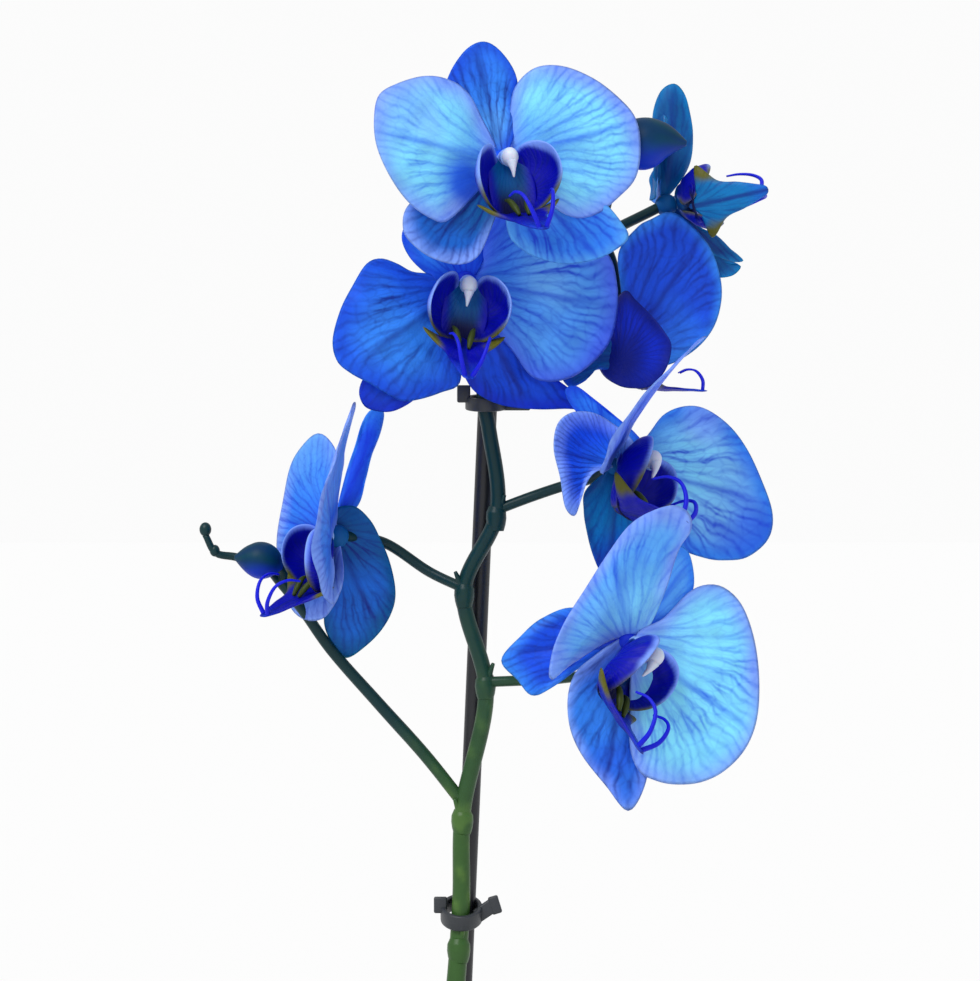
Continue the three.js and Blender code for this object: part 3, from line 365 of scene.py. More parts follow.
FLOWERS = [
    bloom(
        "flower_a", (13.2, -50, 559.7), [(25, -10, 531), (24, -21, 541), (18.5, -35, 554)],
        dict(at=(-0.8, 0, 1.3), yaw=18, pitch=3, roll=-5, scale=1.15, reach=1.06, open=0.78,
             nose=7.2),
        petal("mist lilac sky royal", 0.65, 0.25, (0.45, 0), [
            -2, 1, -8, 16.5, -13, 24.5, -19.5, 28, -27, 28.5, -35, 26, -41, 22, -42.5, 14, -41.5, 5,
            -37, -5, -31, -13, -24.5, -17.5, -19, -18.5, -11, -11],
            # The royal patch beside the lip is partly the petal's dye and partly painted shadow next
            # to the lip.
            patches=[(-14, -7, 9, "royal", 0.9), (-32, 16, 13, "lilac", 0.4)], dish=2.5, wave=0.9),
        petal("mist lilac sky royal", 0.7, 0.22, (0.15, 0), [
            3, 0, 1.5, 9, 1.5, 18, 3.5, 26, 10, 32, 19.5, 32.5, 29.5, 28.5, 38, 22, 43, 15.5,
            44.5, 6.5, 43, -3.5, 37.5, -10, 30.5, -15.5, 23, -17, 15, -13, 7, -5],
            patches=[(17, 8, 12, "sky", 0.45)], dish=2.5, wave=0.9),
        petal("azure royal sky navy", 0.85, 0.3, (0.3, 0.1), [
            -2, 1, -12, 14, -18.5, 24.5, -18, 30, -13, 37.5, -7, 40.5, -1.5, 37.5, 3.5, 30, 4.5, 20,
            2.5, 8],
            patches=[(-3, 14, 8, "sky", 0.7), (-12, 30, 8, "royal", 0.5)], lift=2, dish=-1.5),
        petal("tide lilac teal navy", 0.75, 0.22, (0.3, -0.1), [
            -1, -1, -12, -5, -24, -8, -32, -14, -33, -22, -28.5, -27.5, -22.5, -31, -15, -32.5,
            -9, -30, -5, -22, -1, -10], patches=[(-8, -14, 11, "teal", 0.85)], lift=1.5, dish=-1),
        petal("azure sky royal cobalt", 0.9, 0.2, (0.18, -0.1), [
            1, -1, 0, -12, 1, -22, 5, -27, 10.5, -30, 19, -32, 28, -31, 34.5, -28.5, 40.5, -23.5,
            38, -18, 31, -11, 18, -6, 8, -2], patches=[(12, -14, 9, "sky", 0.4)], lift=1.5, dish=-1),
        pale_rim=0.36,
    ),
    bloom(
        "flower_b", (-2.2, -30, 518.8), [(8, -10, 490), (9, -15, 499), (4.5, -20, 510)],
        dict(at=(2.6, 0, 3), yaw=8, pitch=-13, roll=7, scale=1.12, reach=1.08, open=0.75, nose=6.5),
        petal("azure royal royal navy", 0.9, 0.4, (0.42, 0), [
            -2, 1, -8.4, 5.7, -15, 6.7, -20, 9.3, -25.4, 10.9, -30, 9, -34.4, 2, -38.4, -6, -41, -16,
            -39.5, -23, -35, -27, -28.5, -30.5, -22, -34.3, -17.8, -36, -12, -35.2, -5.5, -33,
            0.5, -30, 1, -20, 0, -8], dish=2.5, wave=0.9),
        petal("sky violet azure cobalt", 0.95, 0.25, (0.2, 0), [
            2, 1, 7, 12, 9, 20, 12, 25.5, 17, 25, 22, 21.5, 30, 21, 42, 18.5, 50, 12.5, 52.5, 4,
            52.8, -6, 50, -16.5, 44, -23.5, 37.8, -27.8, 30.6, -29.4, 24, -27.5, 18, -19.6, 9, -9],
            patches=[(30, 8, 12, "ice", 0.6), (12, 20, 8, "royal", 0.4)], dish=2.5, wave=0.9),
        petal("azure royal royal cobalt", 0.8, 0.3, (0.25, 0.15), [
            -1, 1, -9, 5, -16, 11.5, -18.5, 19, -14, 26.5, -6, 27, 3, 25, 10, 18, 6, 6],
            lift=2, dish=-1),
        petal("royal cobalt cobalt navy", 0.8, 0.3, (0.25, -0.1), [
            0, -2, 0, -14, 1, -24, 4, -31, 9, -35, 16, -37.5, 26, -38.5, 35, -38.3, 40.5, -38,
            39, -33.5, 32, -28, 20, -19, 9, -7], lift=2, dish=-1),
        petal("royal cobalt cobalt navy", 0.8, 0.3, (0.4, -0.1), [
            -2, -2, -14, -10, -25, -20, -32, -30.5, -31.2, -37, -26.5, -39.3, -20, -38.8, -12, -33,
            -5, -20], lift=2.5, dish=-1),
        pale_rim=0.36,
    ),
    bloom(
        "flower_c", (65.8, 4, 549.5), [(43.3, -9, 539.3), (50, -4.5, 540.8), (56, 0, 543.6)],
        dict(at=(2.5, 0, -0.4), yaw=95, pitch=15, roll=80, scale=1.02, reach=1, open=0.6, nose=8.5),
        petal("teal aqua teal navy", 0.7, 0.2, (0.1, 0), [
            0, 1, -1.5, 9, -2.6, 18, -3.3, 27, -2.4, 33, 0, 38, 4, 40, 7, 37.5, 9, 32, 10.4, 23,
            9.6, 14, 6, 7], dish=1.5),
        petal("teal aqua teal navy", 0.7, 0.2, (0.05, 0.12), [
            1, 1, -7, 3, -14, 9, -16.5, 17, -16, 25, -10, 29, -4, 26, 0, 17, 2, 8],
            view="side", lift=-3.5, bend=0.002, wave=0.7),
        petal("aqua azure teal royal", 0.7, 0.2, (-0.05, 0.12), [
            -1, 1, 6, -1, 16, 2, 26, 9, 31, 18, 29, 27, 21, 31, 12, 28, 5, 20, 1, 9],
            view="side", lift=-1.5, bend=0.002, wave=0.7),
        petal("teal aqua teal navy", 0.7, 0.2, (0.5, 0), [
            1, 1, 6, -2, 12.6, -7.6, 18.6, -10.4, 23, -14.5, 27.7, -18.8, 22, -19, 16, -16.5, 8, -10,
            2, -4], lift=1.5),
        petal("teal aqua teal navy", 0.7, 0.2, (0, 0.1), [
            0, -1, 7, -9, 14, -16, 20, -20, 26.2, -21, 23, -24.5, 16, -24.5, 8, -19, 1, -9],
            lift=0.5),
        middle="aqua",
    ),
    bloom(
        "flower_d", (61.4, -10, 499.5),
        [(43.3, -9, 539.3), (48.5, -3, 531), (51, 0, 517), (50.3, -3, 504)],
        dict(at=(-9, 2, -2), yaw=84, pitch=12, roll=0, scale=0.72, reach=1.18, open=0.6, nose=8.5),
        # These two blades face away in shadow: their deep blue is partly their own dye and partly
        # painted shade, darkest on the hidden petal painted cobalt and navy.
        petal("royal azure cobalt navy", 0.85, 0.15, (0.2, 0.12), [
            -9, -2, -9.5, 8, -9.6, 20, -10.4, 33, -4.2, 41.5, 0.5, 44.3, 6.4, 46.8, 12, 44.3,
            19.6, 36, 23.5, 26, 24, 17, 21, 7.5, 13.7, -0.3, 3, -5],
            patches=[(6, 0, 13, "azure", 0.6)], lift=2.5, dish=-2, wave=0.9),
        petal("cobalt navy navy navy", 0.8, 0.3, (-0.8, 0.05), [
            -16, 8, -13, 15, -8.3, 20.3, -4.7, 17, 0.5, 11.6, 4.5, 6.5, 6.8, 1.5, 5, -6, 0, -11.5,
            -6, -12.2, -11, -11, -16, -7, -18.5, 1], lift=-10.6),
        petal("teal royal teal navy", 0.7, 0.2, (0.1, 0), [
            2, 0, -8, -6, -17.8, -6, -22, -10, -27, -11.5, -30, -6, -27, 1, -18, 4, -6, 5], lift=1.5),
    ),
    bloom(
        "flower_e", (55.5, -24, 462.9),
        [(10.3, -8, 447), (21.7, -9.5, 451.3), (31.7, -13, 454.7), (43, -17.5, 458)],
        dict(at=(-5.4, 0, -0.6), yaw=61, pitch=3, roll=36, scale=1.25, reach=0.9, open=0.5,
             nose=10.6),
        petal("ice azure sky cobalt", 1.0, 0.3, (0.5, 0), [
            -4, 2, 4, 8, 10, 15.5, 17, 18.5, 24, 17.8, 32, 12.5, 38, 5, 43, -5, 47, -17, 45.5, -25.5,
            38.5, -31.5, 31, -32.6, 24, -31.8, 15, -28, 7, -18, 0, -7],
            patches=[(38, -22, 13, "royal", 0.7), (16, 0, 12, "mist", 0.6),
                     (24, 15, 9, "lilac", 0.6), (42, 0, 8, "royal", 0.4)], lift=1, dish=-2, wave=0.9),
        petal("violet lilac royal cobalt", 0.6, 0.3, (0.08, 0.48), [
            1, 1, -2, 10, -6, 24, -14, 36, -24, 41, -34, 38, -42, 28, -45, 16, -42, 4, -32, -3,
            -18, -4, -6, -2], view="side", lift=-7, bend=0.007, wave=0.6),
        petal("azure royal azure cobalt", 0.7, 0.25, (0.35, 0.1), [
            -3, 1.5, -7, 5, -14, 12, -20, 18, -22.5, 23.5, -19, 25.2, -13, 21, -5, 14.6, 1, 9.5,
            3.5, 5], lift=2),
        petal("royal lilac azure navy", 0.8, 0.3, (0.35, 0), [
            -1, 2, -6, -1.5, -12.3, -3.3, -15.5, -7.5, -17.2, -12.5, -19.3, -17.8, -22.5, -14.8,
            -24.2, -5, -26.3, 4.5, -25, 12.5, -20.3, 16.3, -13.5, 16.3, -7, 13, 0, 7],
            lift=0.5, dish=-1),
        petal("aqua teal teal navy", 0.8, 0.25, (0.35, -0.1), [
            -3, 2, -9, -3, -15.8, -9.5, -16.3, -16, -15.5, -22, -13.5, -30, -10.5, -37, -7, -42,
            -1.5, -37, 1.5, -26, 1.5, -10], patches=[(-8, -36, 12, "cobalt", 0.75)], lift=1.5),
    ),
    bloom(
        "flower_f", (59, -44, 399.7),
        [(6.6, -5, 389.8), (16.7, -9, 390.3), (31.7, -21, 391.4), (46, -33.5, 395)],
        dict(at=(-4.8, 0, 4.4), yaw=43, pitch=-27, roll=37, scale=1.26, reach=0.96, open=0.5,
             nose=9.5),
        petal("sky lilac ice royal", 0.8, 0.28, (0.45, -0.45), [
            -1.5, 6, -11, 4.8, -24, -3, -31, -8, -30.5, 1, -26.5, 11, -20, 21.5, -12, 34, -5, 43,
            2.7, 47.5, 9.7, 49, 14.5, 46, 14.8, 40.5, 11, 34.5, 7, 22, 2.5, 11],
            patches=[(4, 14, 12, "mist", 0.6)], lift=1, dish=2, wave=0.9),
        petal("mist lilac ice royal", 0.75, 0.2, (0.35, 0), [
            -3, 6.5, 6, 12, 14.5, 20.5, 21, 23, 27, 21.5, 32.5, 15.5, 36.5, 4, 38, -10, 37, -22,
            33, -31.5, 26, -38.4, 18, -42, 9.5, -42.5, 3, -41, -2, -38, -5, -29, -5, -8],
            lift=0.5, dish=-1.5, wave=0.9),
        petal("sky azure royal royal", 0.7, 0.25, (0.15, 0.1), [
            -2, 5, -3, 12, 1, 22, 5.5, 32.5, 10.5, 36, 15, 32.5, 16.2, 22, 12, 16, 7.7, 9.5, 4, 3],
            lift=2.5),
        petal("azure lilac royal navy", 0.95, 0.18, (0.15, -0.05), [
            -2, 7, -9, 5, -17.7, -1, -23, -6, -25.3, -14, -24.5, -24, -20.5, -33, -12.7, -43,
            -5.4, -51.2, 0, -43, 2, -30, 2, -12],
            patches=[(-8, -36, 12, "cobalt", 0.5)], lift=1.5, dish=-1),
        petal("royal azure cobalt navy", 0.9, 0.25, (0.05, 0), [
            -1, 7, -11, 11, -23.5, 15.5, -33.7, 12, -40.5, 6.3, -47, -1.7, -41.7, -8.3, -36.9, -13.3,
            -30, -10.5, -15, 0], lift=2.5),
    ),
    bloom(
        "flower_g", (-41, -14, 445.4), [(-0.4, -6.5, 421), (-11.7, -1.5, 426.3), (-26.7, -1.5, 436)],
        dict(at=(-2.2, -1, -7.2), yaw=-56, pitch=-8, roll=10, scale=1.08, reach=0.92, open=0.35,
             nose=6.5),
        petal("azure lilac royal cobalt", 0.9, 0.25, (-1, 0), [
            -2, 2, -1, 18, -4, 25, -8.5, 27, -14, 22, -17.5, 15.5, -20, 4, -22, -8, -21.3, -18,
            -19, -27, -15.5, -33, -10, -35.3, -4, -32.5, 1, -20],
            patches=[(-14, 20, 12, "sky", 0.7)], lift=-1, dish=-1.5, wave=0.9),
        petal("azure lilac royal cobalt", 0.7, 0.25, (0.11, 0.1), [
            1, 2, -4, 14, -10, 28, -16, 37, -26, 34, -38, 22, -44, 4, -42, -14, -32, -26, -20, -29,
            -9, -20, -2, -6], view="side", lift=-1.5, bend=0.004, wave=0.7),
        petal("royal azure royal cobalt", 0.7, 0.25, (0.3, 0), [
            -2, -3, 1, 12, 4.5, 23, 7, 31, 10, 35, 14, 34.5, 13.2, 28, 10.2, 20, 8.2, 12, 5.5, 3],
            lift=2),
        petal("tide teal teal navy", 0.9, 0.3, (0.1, -0.3), [
            -3, 1, 4, 3, 9.5, -1.5, 13, -8, 16, -15.5, 17.8, -24, 17.3, -30.5, 14, -37.3, 8.5, -43.3,
            1.2, -47.8, -3.5, -42.5, -6, -35, -4, -22, -2, -9], lift=0.5),
    ),
]


def petal_paint(shape):
    """Ground and vein colours of a petal."""
    centre, rim, base, dye = shape["look"]

    def paint(place, seed):
        cloud = ripple(place["flat"], 16, seed)
        tint = blend(smooth(place["reach"], 0.1, 0.62 + 0.08 * cloud), base, centre)
        border = smooth(place["t"] + 0.06 * cloud, 1 - 1.6 * shape["edge"], 1.02)
        tint = blend(border, tint, rim)
        # Soft patches of other colours: most are dye, and some are painted shade, such as flower A's
        # deep blue beside the lip.
        for u, v, radius, patch, share in shape["patches"]:
            away = np.hypot(*(place["flat"] - (u, v)).T) / radius + 0.25 * cloud
            tint = blend(share * smooth(away, 1.3, 0.2), tint, patch)
        midline = 0.45 * np.exp(-(place["aside"] / 1.1) ** 2) * smooth(place["reach"], 0.1, 0.3)
        tint = blend(midline * (1 - border), tint, dye)
        tint = tint * (1 + 0.07 * ripple(place["flat"], 7, seed + 1))[:, None]
        strength = shape["veins"] * (0.75 + 0.25 * cloud) * (1 - 0.3 * border)
        return tint, dye, np.clip(strength, 0, 1)

    return paint


def petal_relief(place, seed):
    """A crease along the middle, low folds along the veins and a softly crimped rim."""
    t, reach, angle = place["t"], place["reach"], place["angle"]
    random = np.random.default_rng(seed)
    phase = random.uniform(0, TURN, 3)
    sign = 1 if random.random() < 0.5 else -1
    inside = 1 - t**4
    crease = -0.55 * np.exp(-(place["aside"] / 2.2) ** 2) * smooth(reach, 0.05, 0.4) * inside
    folds = 0.16 * np.sin(angle * 19 + phase[0]) * smooth(reach, 0.1, 0.5) * inside
    crimp = 0.5 * t**8 * np.sin(place["turn"] * TURN * 9 + phase[1])
    roll = -0.9 * smooth(t, 0.78, 1) * np.sin(place["turn"] * TURN * 2 + phase[2])
    soft = 0.35 * ripple(place["flat"], 15, seed + 2) * inside
    return sign * crease + folds + crimp + roll + soft


def heart_matrix(flower, scale=None):
    """Where the blades, the lip, the column and the stalk of a flower meet."""
    heart = flower["heart"]
    size = heart["scale"] if scale is None else scale
    at = Vector(flower["centre"]) + Vector(heart["at"])
    turn = (Matrix.Rotation(math.radians(heart["yaw"]), 4, "Z")
            @ Matrix.Rotation(math.radians(-heart["pitch"]), 4, "X")
            @ Matrix.Rotation(math.radians(heart["roll"]), 4, "Y"))
    return Matrix.Translation(at) @ turn @ Matrix.Scale(size, 4)


def tepals(flower, seed):
    """The sepals and petals with the knot that they grow from."""
    heart = flower["heart"]["at"]
    parts = []
    for i, shape in enumerate(flower["blades"]):
        base = (heart[1 if shape.get("view") == "side" else 0], heart[2])
        made = blade(shape, base, petal_paint(shape), petal_relief, seed + SEEDS["blade"] * i)
        parts.append(placed(made, Matrix.Translation(flower["centre"])))
    tone = flower["blades"][-1]["look"][2]
    knot = ball((0, HUB["back"], 0), [HUB["radius"]] * 3, tone)
    return parts + [placed(knot, heart_matrix(flower, 1))]


# The lip
LIP = {
    "throat": {
        "outline": [(-6.2, -2.5), (-3.4, 0.6), (3.4, 0.6), (6.2, -2.5), (7, -9), (5.6, -15),
                    (0, -16.5), (-5.6, -15), (-7, -9)],
        "lift": -2.4, "slope": (0, 0.2), "curl": -0.05,
    },
    "lobe": {
        "view": "side",
        "outline": [(-2.8, -14.5), (-2.4, -7), (-2.8, -0.5), (-5.5, 3.6), (-9.6, 4.6),
                    (-13.2, 2.8), (-15.2, -2), (-15, -7.5), (-12.6, -12.4), (-8, -16)],
        "lift": 5.2, "slope": (0, -0.07), "bend": -0.01, "dish": -3.6,
    },
    "middle": {
        "view": "top",
        "outline": [(0, -4), (3.2, -7), (12.3, -9.5), (6.4, -15), (4.6, -21), (2.8, -26),
                    (1.2, -29.5), (-1.2, -29.5), (-2.8, -26), (-4.6, -21), (-6.4, -15),
                    (-12.3, -9.5), (-3.2, -7)],
        "lift": -14.2, "slope": (0, 0.25), "curl": 0.028,
    },
    "ridge": [(1.4, -14.6, -16.6), (1.9, -12.6, -14.2), (2.6, -10.4, -12.2), (3.2, -8.6, -11.8)],
    "ridge_radii": [0.5, 1, 0.9, 0.4],
    "whisker": [(1, 0, 0), (2.9, -1, 4.8), (4.4, 1.2, 9.6), (5.4, 5, 11), (5.9, 9, 10.2)],
    "whisker_radii": [0.75, 0.55, 0.32],
    "tip": -28,
}


def lobe_paint(wide):
    """Deep blue, with a pale rim that is wide in front and turns olive at its foot."""
    def paint(place, seed):
        high = smooth(place["v"], -11, -3)
        edge = blend(high, "olive", "lilac")
        front = smooth(-place["u"], 6, 13)
        border = smooth(place["t"] + 0.05 * ripple(place["flat"], 6, seed),
                        0.86 - wide * front, 1.02)
        tint = blend(border, "ultramarine", edge)
        return tint, "navy", 0.5 * (1 - border)

    return paint


def throat_paint(place, seed):
    """Teal at the top, with painted shade making the hollow bottom of the throat nearly black."""
    low = smooth(place["v"], -6, -13)
    # Painted shade: the hollow low in the throat is darkened to a near-black navy.
    tint = blend(low, "teal", colour("navy") * 0.3)
    side = smooth(np.abs(place["u"]), 3, 6.5)
    tint = blend(side, tint, "ultramarine")
    return tint, "navy", 0.3 * (1 - low)


def middle_paint(ground):
    """One ground colour, olive horns, a dark line along the middle and a lighter tip."""
    def paint(place, seed):
        u, v = np.abs(place["u"]), -place["v"]
        tint = blend(0.5 * smooth(v, 20, 30), ground, "royal")
        tint = blend(0.7 * smooth(u, 1.1, 0.3), tint, "navy")
        horn = smooth(u + 0.8 * ripple(place["flat"], 5, seed), 5.5, 9)
        tint = blend(horn, tint, "olive")
        return tint, "navy", 0.4 * (1 - horn)

    return paint


def lip_relief(place, seed):
    """Soft dents in the fleshy lip."""
    return 0.25 * ripple(place["flat"], 7, seed) * (1 - place["t"] ** 6)


def lip(flower, seed):
    """Two side lobes, the middle lobe with its whiskers, the throat and two ridges in it."""
    reach, opening = flower["heart"]["reach"], flower["heart"]["open"]
    lobe, middle = LIP["lobe"], LIP["middle"]
    right = {**lobe, "lift": lobe["lift"] - 2 * opening, "slope": (-opening, lobe["slope"][1])}
    left = {**right, "lift": -right["lift"], "slope": [-value for value in right["slope"]],
            "bend": -right["bend"], "dish": -right["dish"]}
    middle = {**middle, "outline": [(x, y * reach) for x, y in middle["outline"]]}
    tip_y = LIP["tip"] * reach
    tip = np.array([0, tip_y, middle["lift"] + middle["slope"][1] * tip_y])
    rim_paint = lobe_paint(flower.get("pale_rim", 0.1))
    ground_paint = middle_paint(flower.get("middle", "ultramarine"))
    parts = [
        blade(LIP["throat"], (0, 1), throat_paint, lip_relief, seed, LIP_THICKNESS),
        blade(right, (-4, -9), rim_paint, lip_relief, seed, LOBE_THICKNESS),
        blade(left, (-4, -9), rim_paint, lip_relief, seed + 1, LOBE_THICKNESS),
        blade(middle, (0, -4), ground_paint, lip_relief, seed + 2, LIP_THICKNESS),
    ]
    for name, foot, sides, steps, tint in (("ridge", 0, 14, 20, "moss"),
                                           ("whisker", tip, 12, 40, "whisker_blue")):
        for side in (1, -1):
            path = (np.array(LIP[name]) + foot) * (side, 1, 1)
            parts.append(rod(path, LIP[name + "_radii"], sides, steps, tint=tint))
    return [placed(made, heart_matrix(flower)) for made in parts]


def column(flower):
    """The column with its white cap and beak."""
    nose = flower["heart"]["nose"]
    parts = [
        rod([(0, -0.8, 0), (0, -nose / 2, 0.9), (0, 0.5 - nose, 0.5)], [2.2, 2.2, 2.7], 24, 24,
            tint="pale_blue"),
        ball((0, -nose, 0.6), (2.3, 2.5, 2.7), "pearl"),
        rod([(0, -nose - 1, -0.8), (0, -nose - 1.6, -3), (0, -nose - 1.5, -5.4)],
            [1.7, 0.8, 0.25], 16, 16, tint="pearl"),
    ]
    return [placed(made, heart_matrix(flower)) for made in parts]


# The stem
STEM_PATH = [
    (-21, -1.5, 131), (-23, -7.5, 142), (-22, -9, 158), (-18, -8, 190), (-12, -5, 230),
    (-6, -2, 262), (-3, 0, 290), (-1.3, 0, 317), (-0.7, -2, 347), (7, -5, 387),
    (-0.3, -6.5, 420.3), (10.7, -8, 446.3), (8, -9.5, 473.7), (6.3, -10, 483.7),
    (8.3, -10.5, 502), (16.7, -10.5, 522), (30, -10, 533.7), (43.3, -9, 539.3),
]
STEM_RADII = [3.3, 3.3, 3.3, 2.8, 2.6, 2.5, 2.5]
BRANCH_PATH = [
    (-0.7, -2, 349.5), (-13.3, -1, 365.3), (-28.3, -1, 382), (-45, -2, 401),
    (-54, -3, 413.7), (-61.3, -2, 422.7), (-67, 2.5, 428.6), (-76.7, 6, 431.3),
    (-83.3, 5, 432.7), (-86.7, 4, 438.7),
]
BRANCH_RADII = [2.1, 2.1, 1.9, 1.7, 1.1]
BUDS = {
    "bud_top": {
        "stalk": [(43.3, -9, 539.3), (47, -14, 548), (47.5, -22, 558), (50.5, -28.5, 565)],
        "axis": [(47.2, -27.5, 564), (56, -30, 567), (65, -31, 568.5), (73, -31, 567.7)],
        "radii": [2.2, 6.8, 8.9, 8.3, 5, 0.8],
    },
    "bud_side": {
        "stalk": [(-61.3, -2, 422.7), (-60.6, -2.6, 426), (-62.8, -3.8, 429.3)],
        "axis": [(-61, -3.4, 428.6), (-66.4, -5.5, 430), (-71.8, -6, 430.8), (-76.6, -5.6, 431.3)],
        "radii": [1.8, 5.2, 6.4, 6, 4, 0.7],
    },
}
# The place of each scale leaf, the stem's radius there, and how far its tip leans out
BRACTS = [
    ((-2.1, 0, 301), 3.2, (1.6, -3.6)),
    ((-0.9, -1.6, 344), 3, (-2.6, -2.6)),
    ((6.8, -5, 389), 2.8, (2.6, -3)),
    ((-0.2, -6.5, 419.5), 2.7, (-3, -2.4)),
    ((10.4, -8, 445), 2.7, (2.8, -2.4)),
]
TIP_BUDS = [((-86.7, 4, 440.5), (2, 2, 2.4)), ((-83.6, 4.9, 433.4), (1.7, 1.7, 2))]


def stem_paint(points, share, angle):
    """Green low down and deep teal on the side branch and among the flowers."""
    aside = np.clip(-points[:, 0] - 5, 0, 40)
    high = smooth(points[:, 2] + 3 * aside + 12 * ripple(points, 60, 3), 335, 440)
    light = 0.6 * smooth(ripple(points, 9, 8) + ripple(points, 30, 4), 0.1, 1)
    green = blend(light, "stem_green", "stem_light")
    tint = blend(high, green, "stem_teal")
    return tint, tint * 0.6


def stem():
    """The zigzag stem with its side branch, stalks and scale leaves."""
    parts = [
        rod(STEM_PATH, STEM_RADII, 24, 260, stem_paint),
        rod(BRANCH_PATH, BRANCH_RADII, 20, 110, stem_paint),
    ]
    for flower in FLOWERS:
        seat = heart_matrix(flower, 1) @ Vector((0, HUB["seat"], 0))
        parts.append(rod([*flower["pedicel"], seat], [PEDICEL_RADIUS] * 2, 16, 50, stem_paint))
    for shape in BUDS.values():
        parts.append(rod(shape["stalk"], [BUD_STALK_RADIUS] * 2, 16, 30, stem_paint))
    for (x, y, z), radius, lean in BRACTS:
        sleeve = [radius + more for more in (-0.2, 0.4, 0.7, 0.6, -0.3)]
        parts.append(rod([(x, y, z - 5), (x, y, z + 3.4)], sleeve, 24, 20, stem_paint))
        tip = (x + lean[0], y + lean[1], z + 7)
        parts.append(rod([(x, y, z), tip], [1.6, 0.6], 16, 10, stem_paint))
    for centre, radii in TIP_BUDS:
        parts.append(ball(centre, radii, "stem_teal"))
    return parts


def bud_paint(points, share, angle):
    """Teal, with deep blue underneath and a greener tip."""
    low = smooth(points[:, 2], points[:, 2].max() - 6, points[:, 2].min() + 2)
    stripes = 0.5 + 0.5 * np.cos(6 * angle + 2 * ripple(points, 14, 5))
    tint = blend(0.7 * low, "bud_teal", "cobalt")
    tint = blend(0.45 * stripes * (1 - low), tint, "bud_green")
    return tint, tint * 0.5


def bud(shape):
    """A closed flower."""
    steps = 60
    share = np.linspace(0, len(shape["radii"]) - 1, steps + 1)
    radii = np.interp(share, range(len(shape["radii"])), shape["radii"])
    for _ in range(30):
        radii[1:-1] = (radii[:-2] + 2 * radii[1:-1] + radii[2:]) / 4
    return [rod(shape["axis"], radii, 40, steps, bud_paint)]


# The foot of the plant
ROOT_RADII = [3.3, 3, 2.7]
ROOTS = [
    [(-18, -2, 124), (-10, -14, 131), (-2, -25, 127), (1, -31, 112)],
    [(-24, 4, 122), (-36, 14, 132), (-42, 24, 124), (-43, 28, 108)],
    [(-15, 4, 122), (-2, 4, 132), (12, 8, 130), (22, 15, 118)],
    [(-27, 1, 121), (-38, -8, 130), (-46, -16, 122), (-47, -20, 108)],
]
# Each leaf's heading, length, width, height of its start, rise there and rise at its tip
LEAVES = [
    (-12, 176, 62, 136, 42, -48),
    (164, 168, 60, 140, 48, -40),
    (-22, 150, 56, 145, 62, -14),
    (176, 140, 52, 149, 70, 2),
    (-8, 92, 36, 153, 78, 30),
]
LEAF_STEPS = 90
LEAF_COLUMNS = 29
LEAF_SEAT = 5.5
LEAF_FOLD = {"foot": 0.55, "top": 0.12}


def root_paint(points, share, angle):
    """Silvery skin with green showing through."""
    green = smooth(ripple(points, 18, 5), -0.1, 0.7)
    tint = blend(green, "root_silver", "root_green")
    return tint, tint * 0.7


def crown():
    """The short stem with its thick roots."""
    x, y, bottom, top = (CROWN[k] for k in ("x", "y", "bottom", "top"))
    body = ball((x, y, (top + bottom) / 2), (*CROWN["radii"], (top - bottom) / 2),
                "root_green", across=48, high=32)
    return [body] + [rod(path, ROOT_RADII, 20, 50, root_paint) for path in ROOTS]


def leaf(seed, azimuth, length, width, start, rise, droop):
    """A thick strap with a groove along its middle."""
    heading = math.radians(azimuth)
    out = np.array([math.cos(heading), math.sin(heading), 0])
    side = np.array([-math.sin(heading), math.cos(heading), 0])
    centre = np.array([CROWN["x"], CROWN["y"], start]) + LEAF_SEAT * out
    t = np.linspace(-1, 1, LEAF_COLUMNS)
    rows = []
    for i in range(LEAF_STEPS + 1):
        s = i / LEAF_STEPS
        lift = math.radians(rise + (droop - rise) * s**0.8)
        up = np.array([0, 0, math.cos(lift)]) - out * math.sin(lift)
        growth = 0.24 + 0.76 * float(smooth(s, 0, 0.45))
        tip = math.sqrt(max(0, 1 - ((s - 0.6) / 0.4) ** 2)) if s > 0.6 else 1
        half = max(1.2, width / 2 * growth * tip)
        foot, top = LEAF_FOLD["foot"], LEAF_FOLD["top"]
        fold = foot + (top - foot) * float(smooth(s, 0, 0.5))
        rows.append(centre + side * (half * t)[:, None] + up * (half * fold * np.abs(t))[:, None])
        centre = centre + (out * math.cos(lift) + np.array([0, 0, math.sin(lift)])) * (
            length / LEAF_STEPS)
    points = np.vstack(rows)
    quads = grid_faces(LEAF_STEPS + 1, LEAF_COLUMNS)
    normals = vertex_normals(points, np.vstack([quads[:, [0, 1, 2]], quads[:, [0, 2, 3]]]))
    aside = np.tile(t, LEAF_STEPS + 1)
    edge = np.sqrt(np.clip(1 - aside**8, 0, 1)) * 0.8 + 0.2
    half = LEAF_THICKNESS / 2 * edge
    both = np.vstack([points + normals * half[:, None], points - normals * half[:, None]])
    count = len(points)
    grid = np.arange(count).reshape(LEAF_STEPS + 1, LEAF_COLUMNS)
    rim = np.concatenate([grid[:, 0], grid[-1, 1:], grid[-2::-1, -1], grid[0, -2:0:-1]])
    following = np.roll(rim, -1)
    walls = np.stack([rim, rim + count, following + count, following], 1)
    tint = blend(0.5 + 0.5 * ripple(points, 45, seed), "leaf_green",
                 colour("leaf_light") * 0.75)
    tint = blend(0.6 * np.exp(-(aside / 0.05) ** 2), tint, "leaf_light")
    colours = np.vstack([tint, np.broadcast_to(colour("leaf_under"), tint.shape)])
    return [part(both, [quads, quads[:, ::-1] + count, walls], colours, colours * 0.7)]


# The vase and its filling
CHIPS = {"count": 120, "smallest": (9, 6, 3.5), "largest": (17, 12, 7), "sunk": 1.5}
CHIP_RINGS = 9
BARK_GAP = 1.2
CLEARING = (16, 13)
CHIP_SIDES = 18


